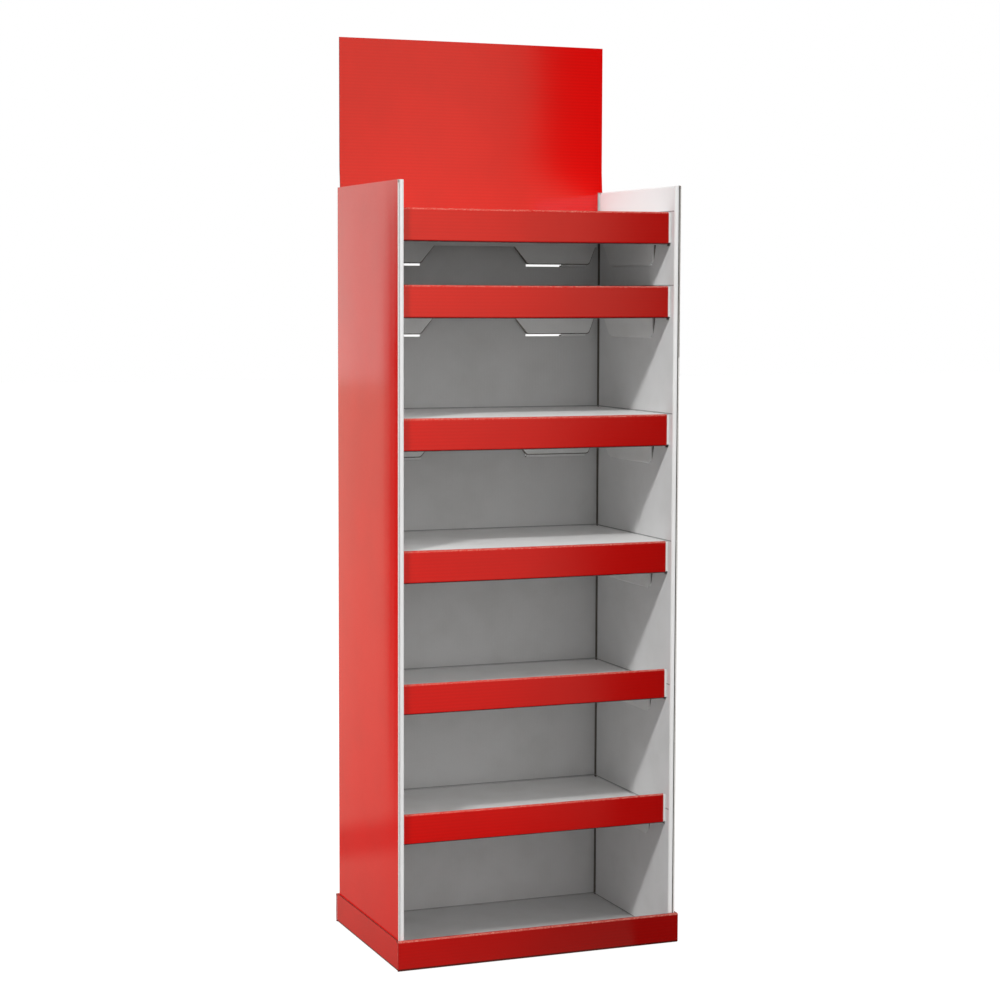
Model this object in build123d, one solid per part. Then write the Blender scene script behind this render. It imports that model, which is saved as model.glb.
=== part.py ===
"""A free-standing display stand folded from corrugated board.

Frame: origin at the centre of the underside, +X to the right, +Y to the rear, +Z up, millimetres.
Each node is one sheet with its folds: a base tray with rolled-over walls, a bottom board, a wrap of
back and sides, a liner that makes each side wall double, six shelves that hook into the walls, and
a header panel. A fold path is the centre line of the board, seen along the fold.
"""
import os
from dataclasses import dataclass

from build123d import *

# Board and fits
BOARD = 3.0  # thickness of every sheet
FOLD_RADIUS = 1.0  # inside of a fold
HEM_GAP = 1.2  # between the two plies of a lip
SLIP = 0.4  # between sheets that lie against or slide past each other
RELIEF = 1.0  # die-cut gap at the end of a fold

# Base tray
TRAY_WIDTH = 600.0
TRAY_DEPTH = 400.0
TRAY_HEIGHT = 60.0
CORNER_TAB = 60.0  # end of a side skirt, held inside the rolled-over front and rear walls

# Body: wrap and liners
BODY_TOP = 1526.0
SIDE_DEPTH = 13.0  # a side wall over all: outer panel, cavity and inner panel
BOTTOM_FLAP = 90.0  # turned in under the bottom board
GLUE_FLAP = 60.0  # liner flap that is stuck inside the outer panel
LINER_REAR_GAP = 8.0  # open joint between a liner and the rear panel

# Shelves: heights of the lips
FIRST_LIP_BOTTOM = 242.0
SHELF_PITCH = 255.5
TOP_SHELF_PITCH = 146.5  # the top shelf stands closer to the one below it
SHELF_COUNT = 6
DEEP_SHELF_COUNT = 2  # lowest shelves, with a lip that stands up in front of the floor
FLUSH_LIP_HEIGHT = 64.0
DEEP_LIP_HEIGHT = 60.0
DEEP_FLOOR_RISE = 28.5  # floor of a deep shelf above the bottom edge of its lip

# Shelves: lip and end tabs
LIP_SETBACK = 18.0  # lip behind the front of the walls
LIP_END_GAP = 5.0  # printed lip short of the wall
END_TAB_INSET = 5.0  # tab below the top and above the bottom of the lip
SLIT_RUNOUT = 8.0  # slit that stays open below the tab

# Shelves: tongues and hooks
TONGUE_DROP = 37.0
TONGUE_SLANT = 30.0
OUTER_SLANT = 14.0  # steeper end of a rear tongue, towards the wall
TONGUE_CORNER = 8.0
REAR_TONGUE_GAP = 176.0  # between the two rear tongues, at the flange
REAR_TONGUE_LENGTH = 188.0
SIDE_TONGUE_START = 78.0  # behind the front of the lip
SIDE_TONGUE_LENGTH = 241.0
SIDE_FLANGE_TAIL = 3.0  # side flange behind its tongue
REAR_HOOK_LENGTH = 56.0
HOOK_INSET = 9.0  # hook short of the end of the tongue's lower edge
REAR_HOOK_REACH = 3.0  # rear hook past the far face of the rear panel
SIDE_HOOK_REACH = 0.8  # side hook and end tab past the far face of the liner, inside the wall
HOOK_PLAY = 1.5  # room above a hook in its slot
WEDGE_WIDTH = 8.0  # tapered slit at the front of a side tongue
WEDGE_DROP = 31.0

# Header
HEADER_RISE = 303.0  # above the side walls
HEADER_SHOULDER = 8.0  # reach of each shoulder over the liner
HEADER_TONGUE_PLAY = 2.6  # between the tongue and each liner
HEADER_TONGUE_CLEAR = 10.0  # end of the tongue above the flange edge of the top shelf

# Derived sizes of the sheets
HALF = BOARD / 2
BEND = FOLD_RADIUS + HALF  # radius of the centre line in a fold
FOLD_SPAN = FOLD_RADIUS + BOARD  # room that a fold takes up along its panel
HEM_PITCH = BOARD + HEM_GAP
HEM_BEND = 0.49 * HEM_PITCH  # two such bends make one round hem
LIP_DEPTH = HEM_PITCH + BOARD
SLOT_HEIGHT = BOARD + HOOK_PLAY

# Derived planes of the tray
TRAY_X = TRAY_WIDTH / 2
TRAY_Y = TRAY_DEPTH / 2
ROLL_DEPTH = 3 * BOARD + 2 * SLIP  # rolled-over wall with a corner tab inside it
ROLL_INNER_Y = TRAY_Y - ROLL_DEPTH
TAB_Y = TRAY_Y - BOARD - SLIP - HALF

# Derived planes of the body
BODY_X = TRAY_X - BOARD - SLIP
BODY_Y = ROLL_INNER_Y - SLIP
PANEL_IN_X = BODY_X - BOARD  # inside of the wrap's side panels
WALL_X = BODY_X - SIDE_DEPTH  # face of a side wall towards the shelves
BACK_Y = BODY_Y - BOARD  # inside of the wrap's rear panel
FLAP_TOP = 2 * BOARD
HEADER_Y = BACK_Y - SLIP - BOARD  # front face of the header

# Derived planes of a shelf
LIP_Y = -BODY_Y + LIP_SETBACK
LIP_X = WALL_X - LIP_END_GAP
HEM_Y = LIP_Y + HALF + HEM_PITCH
FLANGE_X = WALL_X - SLIP - HALF
FLANGE_Y = HEADER_Y - SLIP - HALF
HOOK_END_X = WALL_X + BOARD + SIDE_HOOK_REACH
REAR_TONGUE_START = REAR_TONGUE_GAP / 2
REAR_TONGUE_END = REAR_TONGUE_START + REAR_TONGUE_LENGTH
REAR_HOOK_END = REAR_TONGUE_END - OUTER_SLANT - HOOK_INSET
SIDE_TONGUE_Y = LIP_Y + SIDE_TONGUE_START
SIDE_TONGUE_END = SIDE_TONGUE_Y + SIDE_TONGUE_LENGTH
SIDE_HOOK = (SIDE_TONGUE_Y + HOOK_INSET, SIDE_TONGUE_END - TONGUE_SLANT - HOOK_INSET)


@dataclass(frozen=True)
class Shelf:
    """Heights of one shelf. A floor rise of the whole lip height puts the floor on top of the lip."""

    name: str
    lip_bottom: float
    lip_height: float
    floor_rise: float

    @property
    def lip_top(self):
        return self.lip_bottom + self.lip_height

    @property
    def floor_top(self):
        return self.lip_bottom + self.floor_rise

    @property
    def is_deep(self):
        return self.floor_rise < self.lip_height

    @property
    def tongue_tip(self):
        return self.lip_bottom - TONGUE_DROP

    @property
    def slot_bottom(self):
        return self.tongue_tip - SLOT_HEIGHT


def all_shelves():
    """Return the shelves from the top one down."""
    shelves = []
    for place in range(SHELF_COUNT):
        bottom = FIRST_LIP_BOTTOM + place * SHELF_PITCH
        if place == SHELF_COUNT - 1:
            bottom += TOP_SHELF_PITCH - SHELF_PITCH
        name = f"shelf_{SHELF_COUNT - place}"
        if place < DEEP_SHELF_COUNT:
            shelves.append(Shelf(name, bottom, DEEP_LIP_HEIGHT, DEEP_FLOOR_RISE))
        else:
            shelves.append(Shelf(name, bottom, FLUSH_LIP_HEIGHT, FLUSH_LIP_HEIGHT))
    return shelves[::-1]


def block(x, y, z):
    """Return a box between two values on each axis."""
    size = (x[1] - x[0], y[1] - y[0], z[1] - z[0])
    return Pos(x[0], y[0], z[0]) * Box(*size, align=(Align.MIN, Align.MIN, Align.MIN))


def folded(plane, points, reach, radii=BEND):
    """Return board folded along a path in a plane, between two distances along the plane's normal."""
    section = trace(FilletPolyline(*points, radius=radii), BOARD)
    return extrude(plane.offset(reach[0]) * section, amount=reach[1] - reach[0])


def along_x(points, reach, radii=BEND):
    """Return board folded along a path of (y, z) points."""
    return folded(Plane.YZ, points, reach, radii)


def along_y(points, reach):
    """Return board folded along a path of (x, z) points. The plane's normal points to the front."""
    return folded(Plane.XZ, points, (-reach[1], -reach[0]))


def along_z(points, reach, radii=BEND):
    """Return board folded along a path of (x, y) points."""
    return folded(Plane.XY, points, reach, radii)


def upright_x(y):
    """Return the upright plane of (x, z) at a distance along Y."""
    return Plane.XZ.offset(-y)


def upright_y(x):
    """Return the upright plane of (y, z) at a distance along X."""
    return Plane.YZ.offset(x)


def both_sides(part):
    """Return a part of the right side together with its mirror image on the left."""
    return part + mirror(part, about=Plane.YZ)


def base_tray():
    """Floor, single side skirts, and front and rear walls that roll over the skirts' corner tabs."""
    wall_top = TRAY_HEIGHT - HALF
    outer_y = TRAY_Y - HALF
    inner_y = ROLL_INNER_Y + HALF
    half_path = [(outer_y, HALF), (outer_y, wall_top), (inner_y, wall_top), (inner_y, BOARD + SLIP)]
    path = [(-y, z) for y, z in half_path[::-1]] + half_path
    tray = along_x(path, (-TRAY_X, TRAY_X))

    inner_x = TRAY_X - BOARD - SLIP
    end_cut = block((inner_x, TRAY_X), (-TRAY_Y + BOARD, TRAY_Y - BOARD), (0, TRAY_HEIGHT - BOARD))
    fold_cut = block((TRAY_X - FOLD_SPAN, TRAY_X), (-ROLL_INNER_Y, ROLL_INNER_Y), (0, FOLD_SPAN))
    tray -= both_sides(end_cut + fold_cut)

    skirt_x = TRAY_X - HALF
    skirt_path = [(-skirt_x, TRAY_HEIGHT), (-skirt_x, HALF), (skirt_x, HALF), (skirt_x, TRAY_HEIGHT)]
    tray += along_y(skirt_path, (-BODY_Y, BODY_Y))

    tab_x = skirt_x - CORNER_TAB
    tab_path = [(tab_x, -TAB_Y), (skirt_x, -TAB_Y), (skirt_x, TAB_Y), (tab_x, TAB_Y)]
    tabs = along_z(tab_path, (FOLD_SPAN, TRAY_HEIGHT - BOARD - SLIP))
    return tray + both_sides(tabs)


def bottom_board():
    """Loose board that lies on the turned-in flaps."""
    half_width = WALL_X - SLIP
    depth = (-BODY_Y, BACK_Y - FOLD_RADIUS - SLIP)
    return block((-half_width, half_width), depth, (FLAP_TOP, FLAP_TOP + BOARD))


def rear_slot(shelf):
    """Slot under one rear tongue, through the rear panel. Its inner end stays open beside the hook."""
    start = REAR_TONGUE_START + TONGUE_SLANT
    return block((start, REAR_HOOK_END + SLIP), (BACK_Y, BODY_Y), (shelf.slot_bottom, shelf.tongue_tip))


def outer_wrap():
    """Back and two outer sides in one sheet, with flaps turned in at the bottom and rear slots."""
    side_x = BODY_X - HALF
    rear_y = BODY_Y - HALF
    path = [(-side_x, -BODY_Y), (-side_x, rear_y), (side_x, rear_y), (side_x, -BODY_Y)]
    wrap = along_z(path, (BOARD + FOLD_RADIUS, BODY_TOP))

    fold_top = BOARD + FOLD_SPAN
    flap_z = BOARD + HALF
    flap_root = fold_top + BOARD
    side_reach = (-BODY_Y + RELIEF, BODY_Y - BOTTOM_FLAP - RELIEF)
    side_flap_x = BODY_X - BOTTOM_FLAP
    side_flap = along_y([(side_x, flap_root), (side_x, flap_z), (side_flap_x, flap_z)], side_reach)
    rear_x = BODY_X - FOLD_SPAN - RELIEF
    rear_flap_y = BODY_Y - BOTTOM_FLAP
    rear_path = [(rear_y, flap_root), (rear_y, flap_z), (rear_flap_y, flap_z)]
    rear_flap = along_x(rear_path, (-rear_x, rear_x))

    side_end = (side_reach[0] - RELIEF, side_reach[1] + RELIEF)
    wrap -= both_sides(block((PANEL_IN_X, BODY_X), side_end, (BOARD, fold_top)))
    wrap -= block((-rear_x - RELIEF, rear_x + RELIEF), (BACK_Y, BODY_Y), (BOARD, fold_top))
    wrap += both_sides(side_flap) + rear_flap
    for shelf in all_shelves():
        wrap -= both_sides(rear_slot(shelf))
    return wrap


def liner_cuts(shelf):
    """Openings of one shelf in the right liner: tab slit, slot under the tongue and tapered slit."""
    through = (WALL_X, WALL_X + BOARD)
    slit_y = (HEM_Y - HALF - SLIP, HEM_Y + HALF + SLIP)
    slit_bottom = shelf.lip_bottom + END_TAB_INSET - SLIT_RUNOUT
    slit = block(through, slit_y, (slit_bottom, shelf.lip_top - END_TAB_INSET + SLIP))

    slot_y = (SIDE_HOOK[0] - SLIP, SIDE_HOOK[1] + SLIP)
    slot = block(through, slot_y, (shelf.slot_bottom, shelf.tongue_tip))

    wedge_top = shelf.lip_bottom
    corners = [
        (SIDE_TONGUE_Y - WEDGE_WIDTH, wedge_top),
        (SIDE_TONGUE_Y, wedge_top),
        (SIDE_TONGUE_Y, wedge_top - WEDGE_DROP),
    ]
    wedge = extrude(upright_y(WALL_X + HALF) * make_face(Polyline(*corners, close=True)), BOARD, both=True)
    return slit + slot + wedge


def right_liner():
    """Inner panel with a front spine, a glue flap, a rear flange and a flap that closes the top."""
    panel_x = WALL_X + HALF
    glue_x = PANEL_IN_X - SLIP - HALF
    spine_y = -BODY_Y + HALF
    rear_y = BACK_Y - LINER_REAR_GAP - HALF
    path = [
        (glue_x, -BODY_Y + GLUE_FLAP),
        (glue_x, spine_y),
        (panel_x, spine_y),
        (panel_x, rear_y),
        (PANEL_IN_X - FOLD_RADIUS - SLIP, rear_y),
    ]
    spine_bend = min(BEND, 0.49 * (glue_x - panel_x))
    liner = along_z(path, (FLAP_TOP + FOLD_RADIUS, BODY_TOP), [spine_bend, spine_bend, BEND])

    top_z = BODY_TOP - HALF
    root_z = BODY_TOP - FOLD_SPAN
    reach = (spine_y + HALF + FOLD_RADIUS + RELIEF, rear_y - HALF - FOLD_RADIUS - RELIEF)
    cleared = (reach[0] - RELIEF, reach[1] + RELIEF)
    liner -= block((WALL_X, PANEL_IN_X), cleared, (root_z, BODY_TOP))
    top_path = [(panel_x, root_z - BOARD), (panel_x, top_z), (PANEL_IN_X - SLIP, top_z)]
    liner += along_y(top_path, reach)
    for shelf in all_shelves():
        liner -= liner_cuts(shelf)
    return liner


def lip_path(shelf):
    """Return the fold path of a shelf from the rear flange to the end of the hem, and its radii."""
    outer_y = LIP_Y + HALF
    floor_z = shelf.floor_top - HALF
    hem_z = shelf.lip_bottom + HALF
    points = [(FLANGE_Y, shelf.lip_bottom), (FLANGE_Y, floor_z)]
    radii = [BEND]
    if shelf.is_deep:
        lip_top_z = shelf.lip_top - HALF
        points += [(HEM_Y, floor_z), (HEM_Y, lip_top_z), (outer_y, lip_top_z)]
        radii += [BEND, HEM_BEND, HEM_BEND]
    else:
        points += [(outer_y, floor_z)]
        radii += [BEND]
    points += [(outer_y, hem_z), (HEM_Y, hem_z), (HEM_Y, floor_z - HALF - SLIP)]
    radii += [HEM_BEND, HEM_BEND]
    return points, radii


def tongue(plane, start, end, slants, shelf):
    """Return a tongue below a flange, with round lower corners, centred on the plane."""
    corners = [
        (start, shelf.lip_bottom + FOLD_RADIUS),
        (end, shelf.lip_bottom + FOLD_RADIUS),
        (end, shelf.lip_bottom),
        (end - slants[1], shelf.tongue_tip),
        (start + slants[0], shelf.tongue_tip),
        (start, shelf.lip_bottom),
    ]
    outline = make_face(Polyline(*corners, close=True))
    lower = outline.vertices().group_by(Axis.Y)[0]
    return extrude(plane * fillet(lower, TONGUE_CORNER), amount=HALF, both=True)


def rear_tongue(shelf):
    """Right rear tongue, with a hook at its outer end that passes through the rear panel."""
    slants = (TONGUE_SLANT, OUTER_SLANT)
    part = tongue(upright_x(FLANGE_Y), REAR_TONGUE_START, REAR_TONGUE_END, slants, shelf)
    hook_z = shelf.slot_bottom + HALF
    hook_path = [(FLANGE_Y, shelf.lip_bottom), (FLANGE_Y, hook_z), (BODY_Y + REAR_HOOK_REACH, hook_z)]
    return part + along_x(hook_path, (REAR_HOOK_END - REAR_HOOK_LENGTH, REAR_HOOK_END))


def side_tongue(shelf):
    """Right side tongue, upright at the front, with a hook along its lower edge into the liner."""
    slants = (0, TONGUE_SLANT)
    part = tongue(upright_y(FLANGE_X), SIDE_TONGUE_Y, SIDE_TONGUE_END, slants, shelf)
    hook_z = shelf.slot_bottom + HALF
    hook_path = [(FLANGE_X, shelf.lip_bottom), (FLANGE_X, hook_z), (HOOK_END_X, hook_z)]
    return part + along_y(hook_path, SIDE_HOOK)


def end_tab(shelf):
    """Unprinted tab on the inner ply at the right end of the lip, in one piece or above and below the floor."""
    x = (LIP_X, HOOK_END_X)
    y = (HEM_Y - HALF, HEM_Y + HALF)
    lower = shelf.lip_bottom + END_TAB_INSET
    upper = shelf.lip_top - END_TAB_INSET
    if shelf.is_deep:
        below = block(x, y, (lower, shelf.floor_top - BOARD - SLIP))
        return below + block(x, y, (shelf.floor_top + FOLD_RADIUS, upper))
    return block(x, y, (lower, upper))


def shelf_sheet(shelf):
    """Floor, hemmed lip with end tabs, and turned-down flanges with hooked tongues, in one sheet."""
    points, radii = lip_path(shelf)
    sheet = along_x(points, (-LIP_X, LIP_X), radii)
    floor_z = shelf.floor_top - HALF
    side_path = [
        (-FLANGE_X, shelf.lip_bottom),
        (-FLANGE_X, floor_z),
        (FLANGE_X, floor_z),
        (FLANGE_X, shelf.lip_bottom),
    ]
    side_reach = (LIP_Y + LIP_DEPTH + FOLD_SPAN + RELIEF, SIDE_TONGUE_END + SIDE_FLANGE_TAIL)
    sheet += along_y(side_path, side_reach)
    return sheet + both_sides(rear_tongue(shelf) + side_tongue(shelf) + end_tab(shelf))


def header_panel():
    """Board that stands on its shoulders on the liners, with a tongue behind the top shelf."""
    half_width = WALL_X + HEADER_SHOULDER
    tongue_x = WALL_X - HEADER_TONGUE_PLAY
    tongue_z = all_shelves()[0].lip_bottom + HEADER_TONGUE_CLEAR
    depth = (HEADER_Y, HEADER_Y + BOARD)
    board = block((-half_width, half_width), depth, (BODY_TOP, BODY_TOP + HEADER_RISE))
    return board + block((-tongue_x, tongue_x), depth, (tongue_z, BODY_TOP))


def all_parts():
    """Return every node's solid by name."""
    liner = right_liner()
    parts = {
        "base_tray": base_tray(),
        "bottom_board": bottom_board(),
        "outer_wrap": outer_wrap(),
        "left_liner": mirror(liner, about=Plane.YZ),
        "right_liner": liner,
        "header_panel": header_panel(),
    }
    for shelf in all_shelves():
        parts[shelf.name] = shelf_sheet(shelf)
    return parts


os.makedirs("parts", exist_ok=True)
for name, part in all_parts().items():
    export_step(part, f"parts/{name}.step")
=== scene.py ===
"""Dresses the display stand: corrugated board with a gloss red print, in a white studio.

Every sheet is laid out flat and folded along its path, as the real one is. The cut edges that lie open
are hollow between the two skins of paper, and the wave of the core shows there.
"""

import logging
import math
from abc import ABC, abstractmethod
from collections.abc import Callable, Iterable
from dataclasses import dataclass, field
from enum import Enum

import bmesh
import bpy
import numpy as np
from mathutils import Matrix, Vector


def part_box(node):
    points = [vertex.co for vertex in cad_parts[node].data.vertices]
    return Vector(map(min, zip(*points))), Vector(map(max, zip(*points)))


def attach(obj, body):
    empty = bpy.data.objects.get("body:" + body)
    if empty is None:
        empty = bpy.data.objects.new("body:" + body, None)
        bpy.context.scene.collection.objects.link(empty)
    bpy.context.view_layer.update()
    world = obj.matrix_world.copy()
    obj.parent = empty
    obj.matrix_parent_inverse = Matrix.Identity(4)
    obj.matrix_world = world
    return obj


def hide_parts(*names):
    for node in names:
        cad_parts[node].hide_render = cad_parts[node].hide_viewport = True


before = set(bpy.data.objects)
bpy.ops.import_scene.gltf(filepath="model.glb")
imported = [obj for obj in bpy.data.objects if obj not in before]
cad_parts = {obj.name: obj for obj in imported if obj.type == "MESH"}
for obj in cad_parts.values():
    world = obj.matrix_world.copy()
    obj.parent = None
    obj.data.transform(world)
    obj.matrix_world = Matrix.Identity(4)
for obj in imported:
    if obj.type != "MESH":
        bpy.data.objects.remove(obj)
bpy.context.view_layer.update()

MM = 0.001
BODY = "root"
SHELF_COUNT = 6
FLUTE_PITCH = 6.5 * MM  # from one crest of the core's wave to the next
LOOSE_SHELVES = 2  # upper shelves, whose rear hooks leave part of their slots open
SAME_LINE = 1e-6  # grid lines closer than this are one line

log = logging.getLogger("display_stand")

Point = tuple[float, float]
Place = tuple[float, float, float]
Colour = tuple[float, float, float]
Area = tuple[Point, Point]
Spot = tuple[int, int]
Shape = Callable[[np.ndarray], np.ndarray]
Socket = bpy.types.NodeSocket
Skins = tuple[bpy.types.Material, bpy.types.Material, bpy.types.Material]


class Axis(Enum):
    """Direction of the folds of a sheet. Its fold path lies in the other two directions."""

    X = 0
    Y = 1
    Z = 2


class Rim(Enum):
    """Cut edges of a sheet: the two ends of its fold path and the two ends of its folds."""

    START = 0
    END = 1
    LOW = 2
    HIGH = 3


class Face(Enum):
    """Surfaces of a sheet, in the order of its material slots."""

    PRINT = 0
    PLAIN = 1
    CUT = 2


class Side(Enum):
    """Side of a fold path, looking along it, that carries the print."""

    LEFT = 1
    RIGHT = -1


@dataclass(frozen=True)
class Stock:
    """Corrugated board as it comes from the mill.

    Args:
        thickness: of the board over both skins.
        skin: thickness of one paper skin.
        core: thickness of the paper of the wave.
        pitch: of the wave.
        hollow: depth to which a cut edge can be looked into.
        fold: inside radius of a fold.
        slip: between sheets that lie against each other.
        relief: die-cut gap at the end of a fold.
    """

    thickness: float
    skin: float = 0.45 * MM
    core: float = 0.25 * MM
    pitch: float = FLUTE_PITCH
    hollow: float = 6.0 * MM
    fold: float = 1.0 * MM
    slip: float = 0.4 * MM
    relief: float = 1.0 * MM

    @property
    def half(self) -> float:
        """Half of the thickness."""
        return self.thickness / 2

    @property
    def bend(self) -> float:
        """Radius of the centre line in a fold."""
        return self.fold + self.half

    @property
    def fold_span(self) -> float:
        """Room that a fold takes up along its panel."""
        return self.fold + self.thickness


@dataclass(frozen=True)
class Span:
    """One straight run of a fold path, or one arc where it turns.

    Args:
        start: distance along the path at which the span begins.
        length: of the span.
        origin: first point.
        heading: direction at the first point, in radians.
        turn: change of direction over the span, in radians, 0 on a straight run.
    """

    start: float
    length: float
    origin: Point
    heading: float
    turn: float

    def at(self, distance: float) -> tuple[Point, float]:
        """Find a place on the span.

        Args:
            distance: along the whole path.

        Returns:
            The point and the direction there.
        """
        run = distance - self.start
        x, y = self.origin
        if self.turn == 0:
            return (x + run * math.cos(self.heading), y + run * math.sin(self.heading)), self.heading
        curve = self.turn / self.length
        angle = self.heading + curve * run
        dx = (math.sin(angle) - math.sin(self.heading)) / curve
        dy = (math.cos(self.heading) - math.cos(angle)) / curve
        return (x + dx, y + dy), angle


class FoldPath:
    """Centre line of a sheet, seen along its folds: straight runs joined by arcs."""

    ARC_STEPS = 5
    SUPPORT = 0.5 * MM  # from an arc to the line beside it
    SHORTEST = 1e-7  # span that is kept

    def __init__(self, corners: list[Point], radii: list[float]) -> None:
        """Lay out the spans.

        Args:
            corners: points of the path before its corners are rounded.
            radii: one for each inner corner.
        """
        self.spans: list[Span] = []
        self.length = 0.0
        points = [Vector(corner) for corner in corners]
        trimmed = 0.0
        for index in range(len(points) - 1):
            step = points[index + 1] - points[index]
            heading = math.atan2(step.y, step.x)
            direction = step.normalized()
            turn = 0.0
            trim = 0.0
            if index < len(radii):
                after = points[index + 2] - points[index + 1]
                turn = math.remainder(math.atan2(after.y, after.x) - heading, math.tau)
                trim = radii[index] * math.tan(abs(turn) / 2)
            first = points[index] + direction * trimmed
            self._add(step.length - trimmed - trim, first, heading, 0.0)
            if turn:
                bend_start = points[index + 1] - direction * trim
                self._add(radii[index] * abs(turn), bend_start, heading, turn)
            trimmed = trim

    def _add(self, length: float, origin: Vector, heading: float, turn: float) -> None:
        """Append a span, unless it has no length."""
        if length > self.SHORTEST:
            self.spans.append(Span(self.length, length, (origin.x, origin.y), heading, turn))
            self.length += length

    def span_at(self, distance: float) -> Span:
        """Find the span that holds a place on the path.

        Args:
            distance: along the path.

        Returns:
            The span, or the last one beyond the end.
        """
        for span in self.spans:
            if distance <= span.start + span.length:
                return span
        return self.spans[-1]

    def at(self, distance: float) -> tuple[Point, Point]:
        """Find a place on the path.

        Args:
            distance: along the path.

        Returns:
            The point there and the unit normal to the left of the path.
        """
        point, angle = self.span_at(distance).at(distance)
        return point, (-math.sin(angle), math.cos(angle))

    def marks(self) -> list[float]:
        """List the places where the mesh needs a line.

        Returns:
            Distances along the path: its ends, the steps of arcs, and a line beside each arc.
        """
        lines = [0.0, self.length]
        for span in self.spans:
            if span.turn:
                steps = range(self.ARC_STEPS + 1)
                lines += [span.start + span.length * step / self.ARC_STEPS for step in steps]
                lines += [span.start - self.SUPPORT, span.start + span.length + self.SUPPORT]
        return [line for line in lines if 0 <= line <= self.length]

    def bent(self, distance: float) -> float:
        """Return 1 on a fold and 0 on a panel."""
        folds = [span for span in self.spans if span.turn]
        return float(any(fold.start < distance < fold.start + fold.length for fold in folds))

    def where(self, target: Point) -> float:
        """Find the place on a straight run that is nearest to a point.

        Args:
            target: the point.

        Returns:
            The distance of that place along the path.
        """
        best = (math.inf, 0.0)
        for span in self.spans:
            if span.turn:
                continue
            dx = target[0] - span.origin[0]
            dy = target[1] - span.origin[1]
            run = dx * math.cos(span.heading) + dy * math.sin(span.heading)
            run = min(max(run, 0.0), span.length)
            point, _ = span.at(span.start + run)
            best = min(best, (math.dist(point, target), span.start + run))
        return best[1]


@dataclass(frozen=True)
class Hollow:
    """Cut edge that lies open.

    Args:
        rim: which edge of the sheet.
        wavy: whether the core is cut across, so that its wave shows.
        stretch: part of the edge, as distances along it, or None for all of it.
    """

    rim: Rim
    wavy: bool = False
    stretch: Point | None = None


@dataclass
class EdgeRun:
    """Line on which the wave of the core is laid.

    Args:
        points: along the cut edge.
        across: unit vectors through the board, one for each point.
        inward: from the edge into the board.
    """

    points: list[Vector]
    across: list[Vector]
    inward: Vector


@dataclass
class SheetMesh:
    """Vertices and faces of one sheet, with their places on the flat sheet."""

    points: list[Vector] = field(default_factory=list)
    flat: list[Point] = field(default_factory=list)
    bent: list[float] = field(default_factory=list)
    faces: list[list[int]] = field(default_factory=list)
    kinds: list[Face] = field(default_factory=list)
    runs: list[EdgeRun] = field(default_factory=list)

    def add_point(self, place: Vector, flat: Point, bent: float = 0.0) -> int:
        """Append a vertex.

        Args:
            place: in the frame.
            flat: place on the flat sheet.
            bent: 1 on a fold, 0 on a panel.

        Returns:
            The number of the vertex.
        """
        self.points.append(place)
        self.flat.append(flat)
        self.bent.append(bent)
        return len(self.points) - 1

    def add_face(self, corners: list[int], kind: Face) -> None:
        """Append a face of a kind of surface."""
        self.faces.append(corners)
        self.kinds.append(kind)

    def mirror(self) -> "SheetMesh":
        """Turn the sheet over for the other side of the stand.

        Returns:
            The mirror image, as a mesh of its own.
        """
        flip = Vector((-1.0, 1.0, 1.0))
        runs = [
            EdgeRun([p * flip for p in run.points], [a * flip for a in run.across], run.inward * flip)
            for run in self.runs
        ]
        points = [p * flip for p in self.points]
        same = (list(values) for values in (self.flat, self.bent, self.faces, self.kinds))
        return SheetMesh(points, *same, runs)

    def join(self, other: "SheetMesh") -> None:
        """Take in another mesh.

        Args:
            other: whose faces and edge runs are added.
        """
        base = len(self.points)
        self.points += other.points
        self.flat += other.flat
        self.bent += other.bent
        self.faces += [[corner + base for corner in face] for face in other.faces]
        self.kinds += other.kinds
        self.runs += other.runs

    def bleach(self) -> "SheetMesh":
        """Give the cut edges the plain skin, and return the sheet."""
        self.kinds = [Face.PLAIN if kind is Face.CUT else kind for kind in self.kinds]
        return self

    def settle(self, shape: Shape) -> None:
        """Move every point, and every edge run with it.

        Args:
            shape: function that takes places and returns them moved.
        """
        moved = shape(np.array([tuple(point) for point in self.points]))
        self.points = [Vector(place) for place in moved]
        for run in self.runs:
            line = shape(np.array([tuple(point) for point in run.points]))
            run.points = [Vector(place) for place in line]


def embed(axis: Axis, point: Point, along: float) -> Vector:
    """Put a point of a fold plane into space.

    Args:
        axis: direction of the folds.
        point: in the plane across the folds.
        along: distance along the folds.

    Returns:
        The place in the frame.
    """
    place = [point[0], point[1]]
    place.insert(axis.value, along)
    return Vector(place)


def spread(lines: Iterable[float], step: float) -> list[float]:
    """Sort grid lines, drop doubles and fill gaps.

    Args:
        lines: of the grid, in any order.
        step: widest gap that stays.

    Returns:
        The lines in order.
    """
    kept: list[float] = []
    for line in sorted(lines):
        if kept and line - kept[-1] < SAME_LINE:
            continue
        if kept:
            parts = math.ceil((line - kept[-1]) / step)
            start = kept[-1]
            kept += [start + (line - start) * part / parts for part in range(1, parts)]
        kept.append(line)
    return kept


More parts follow.
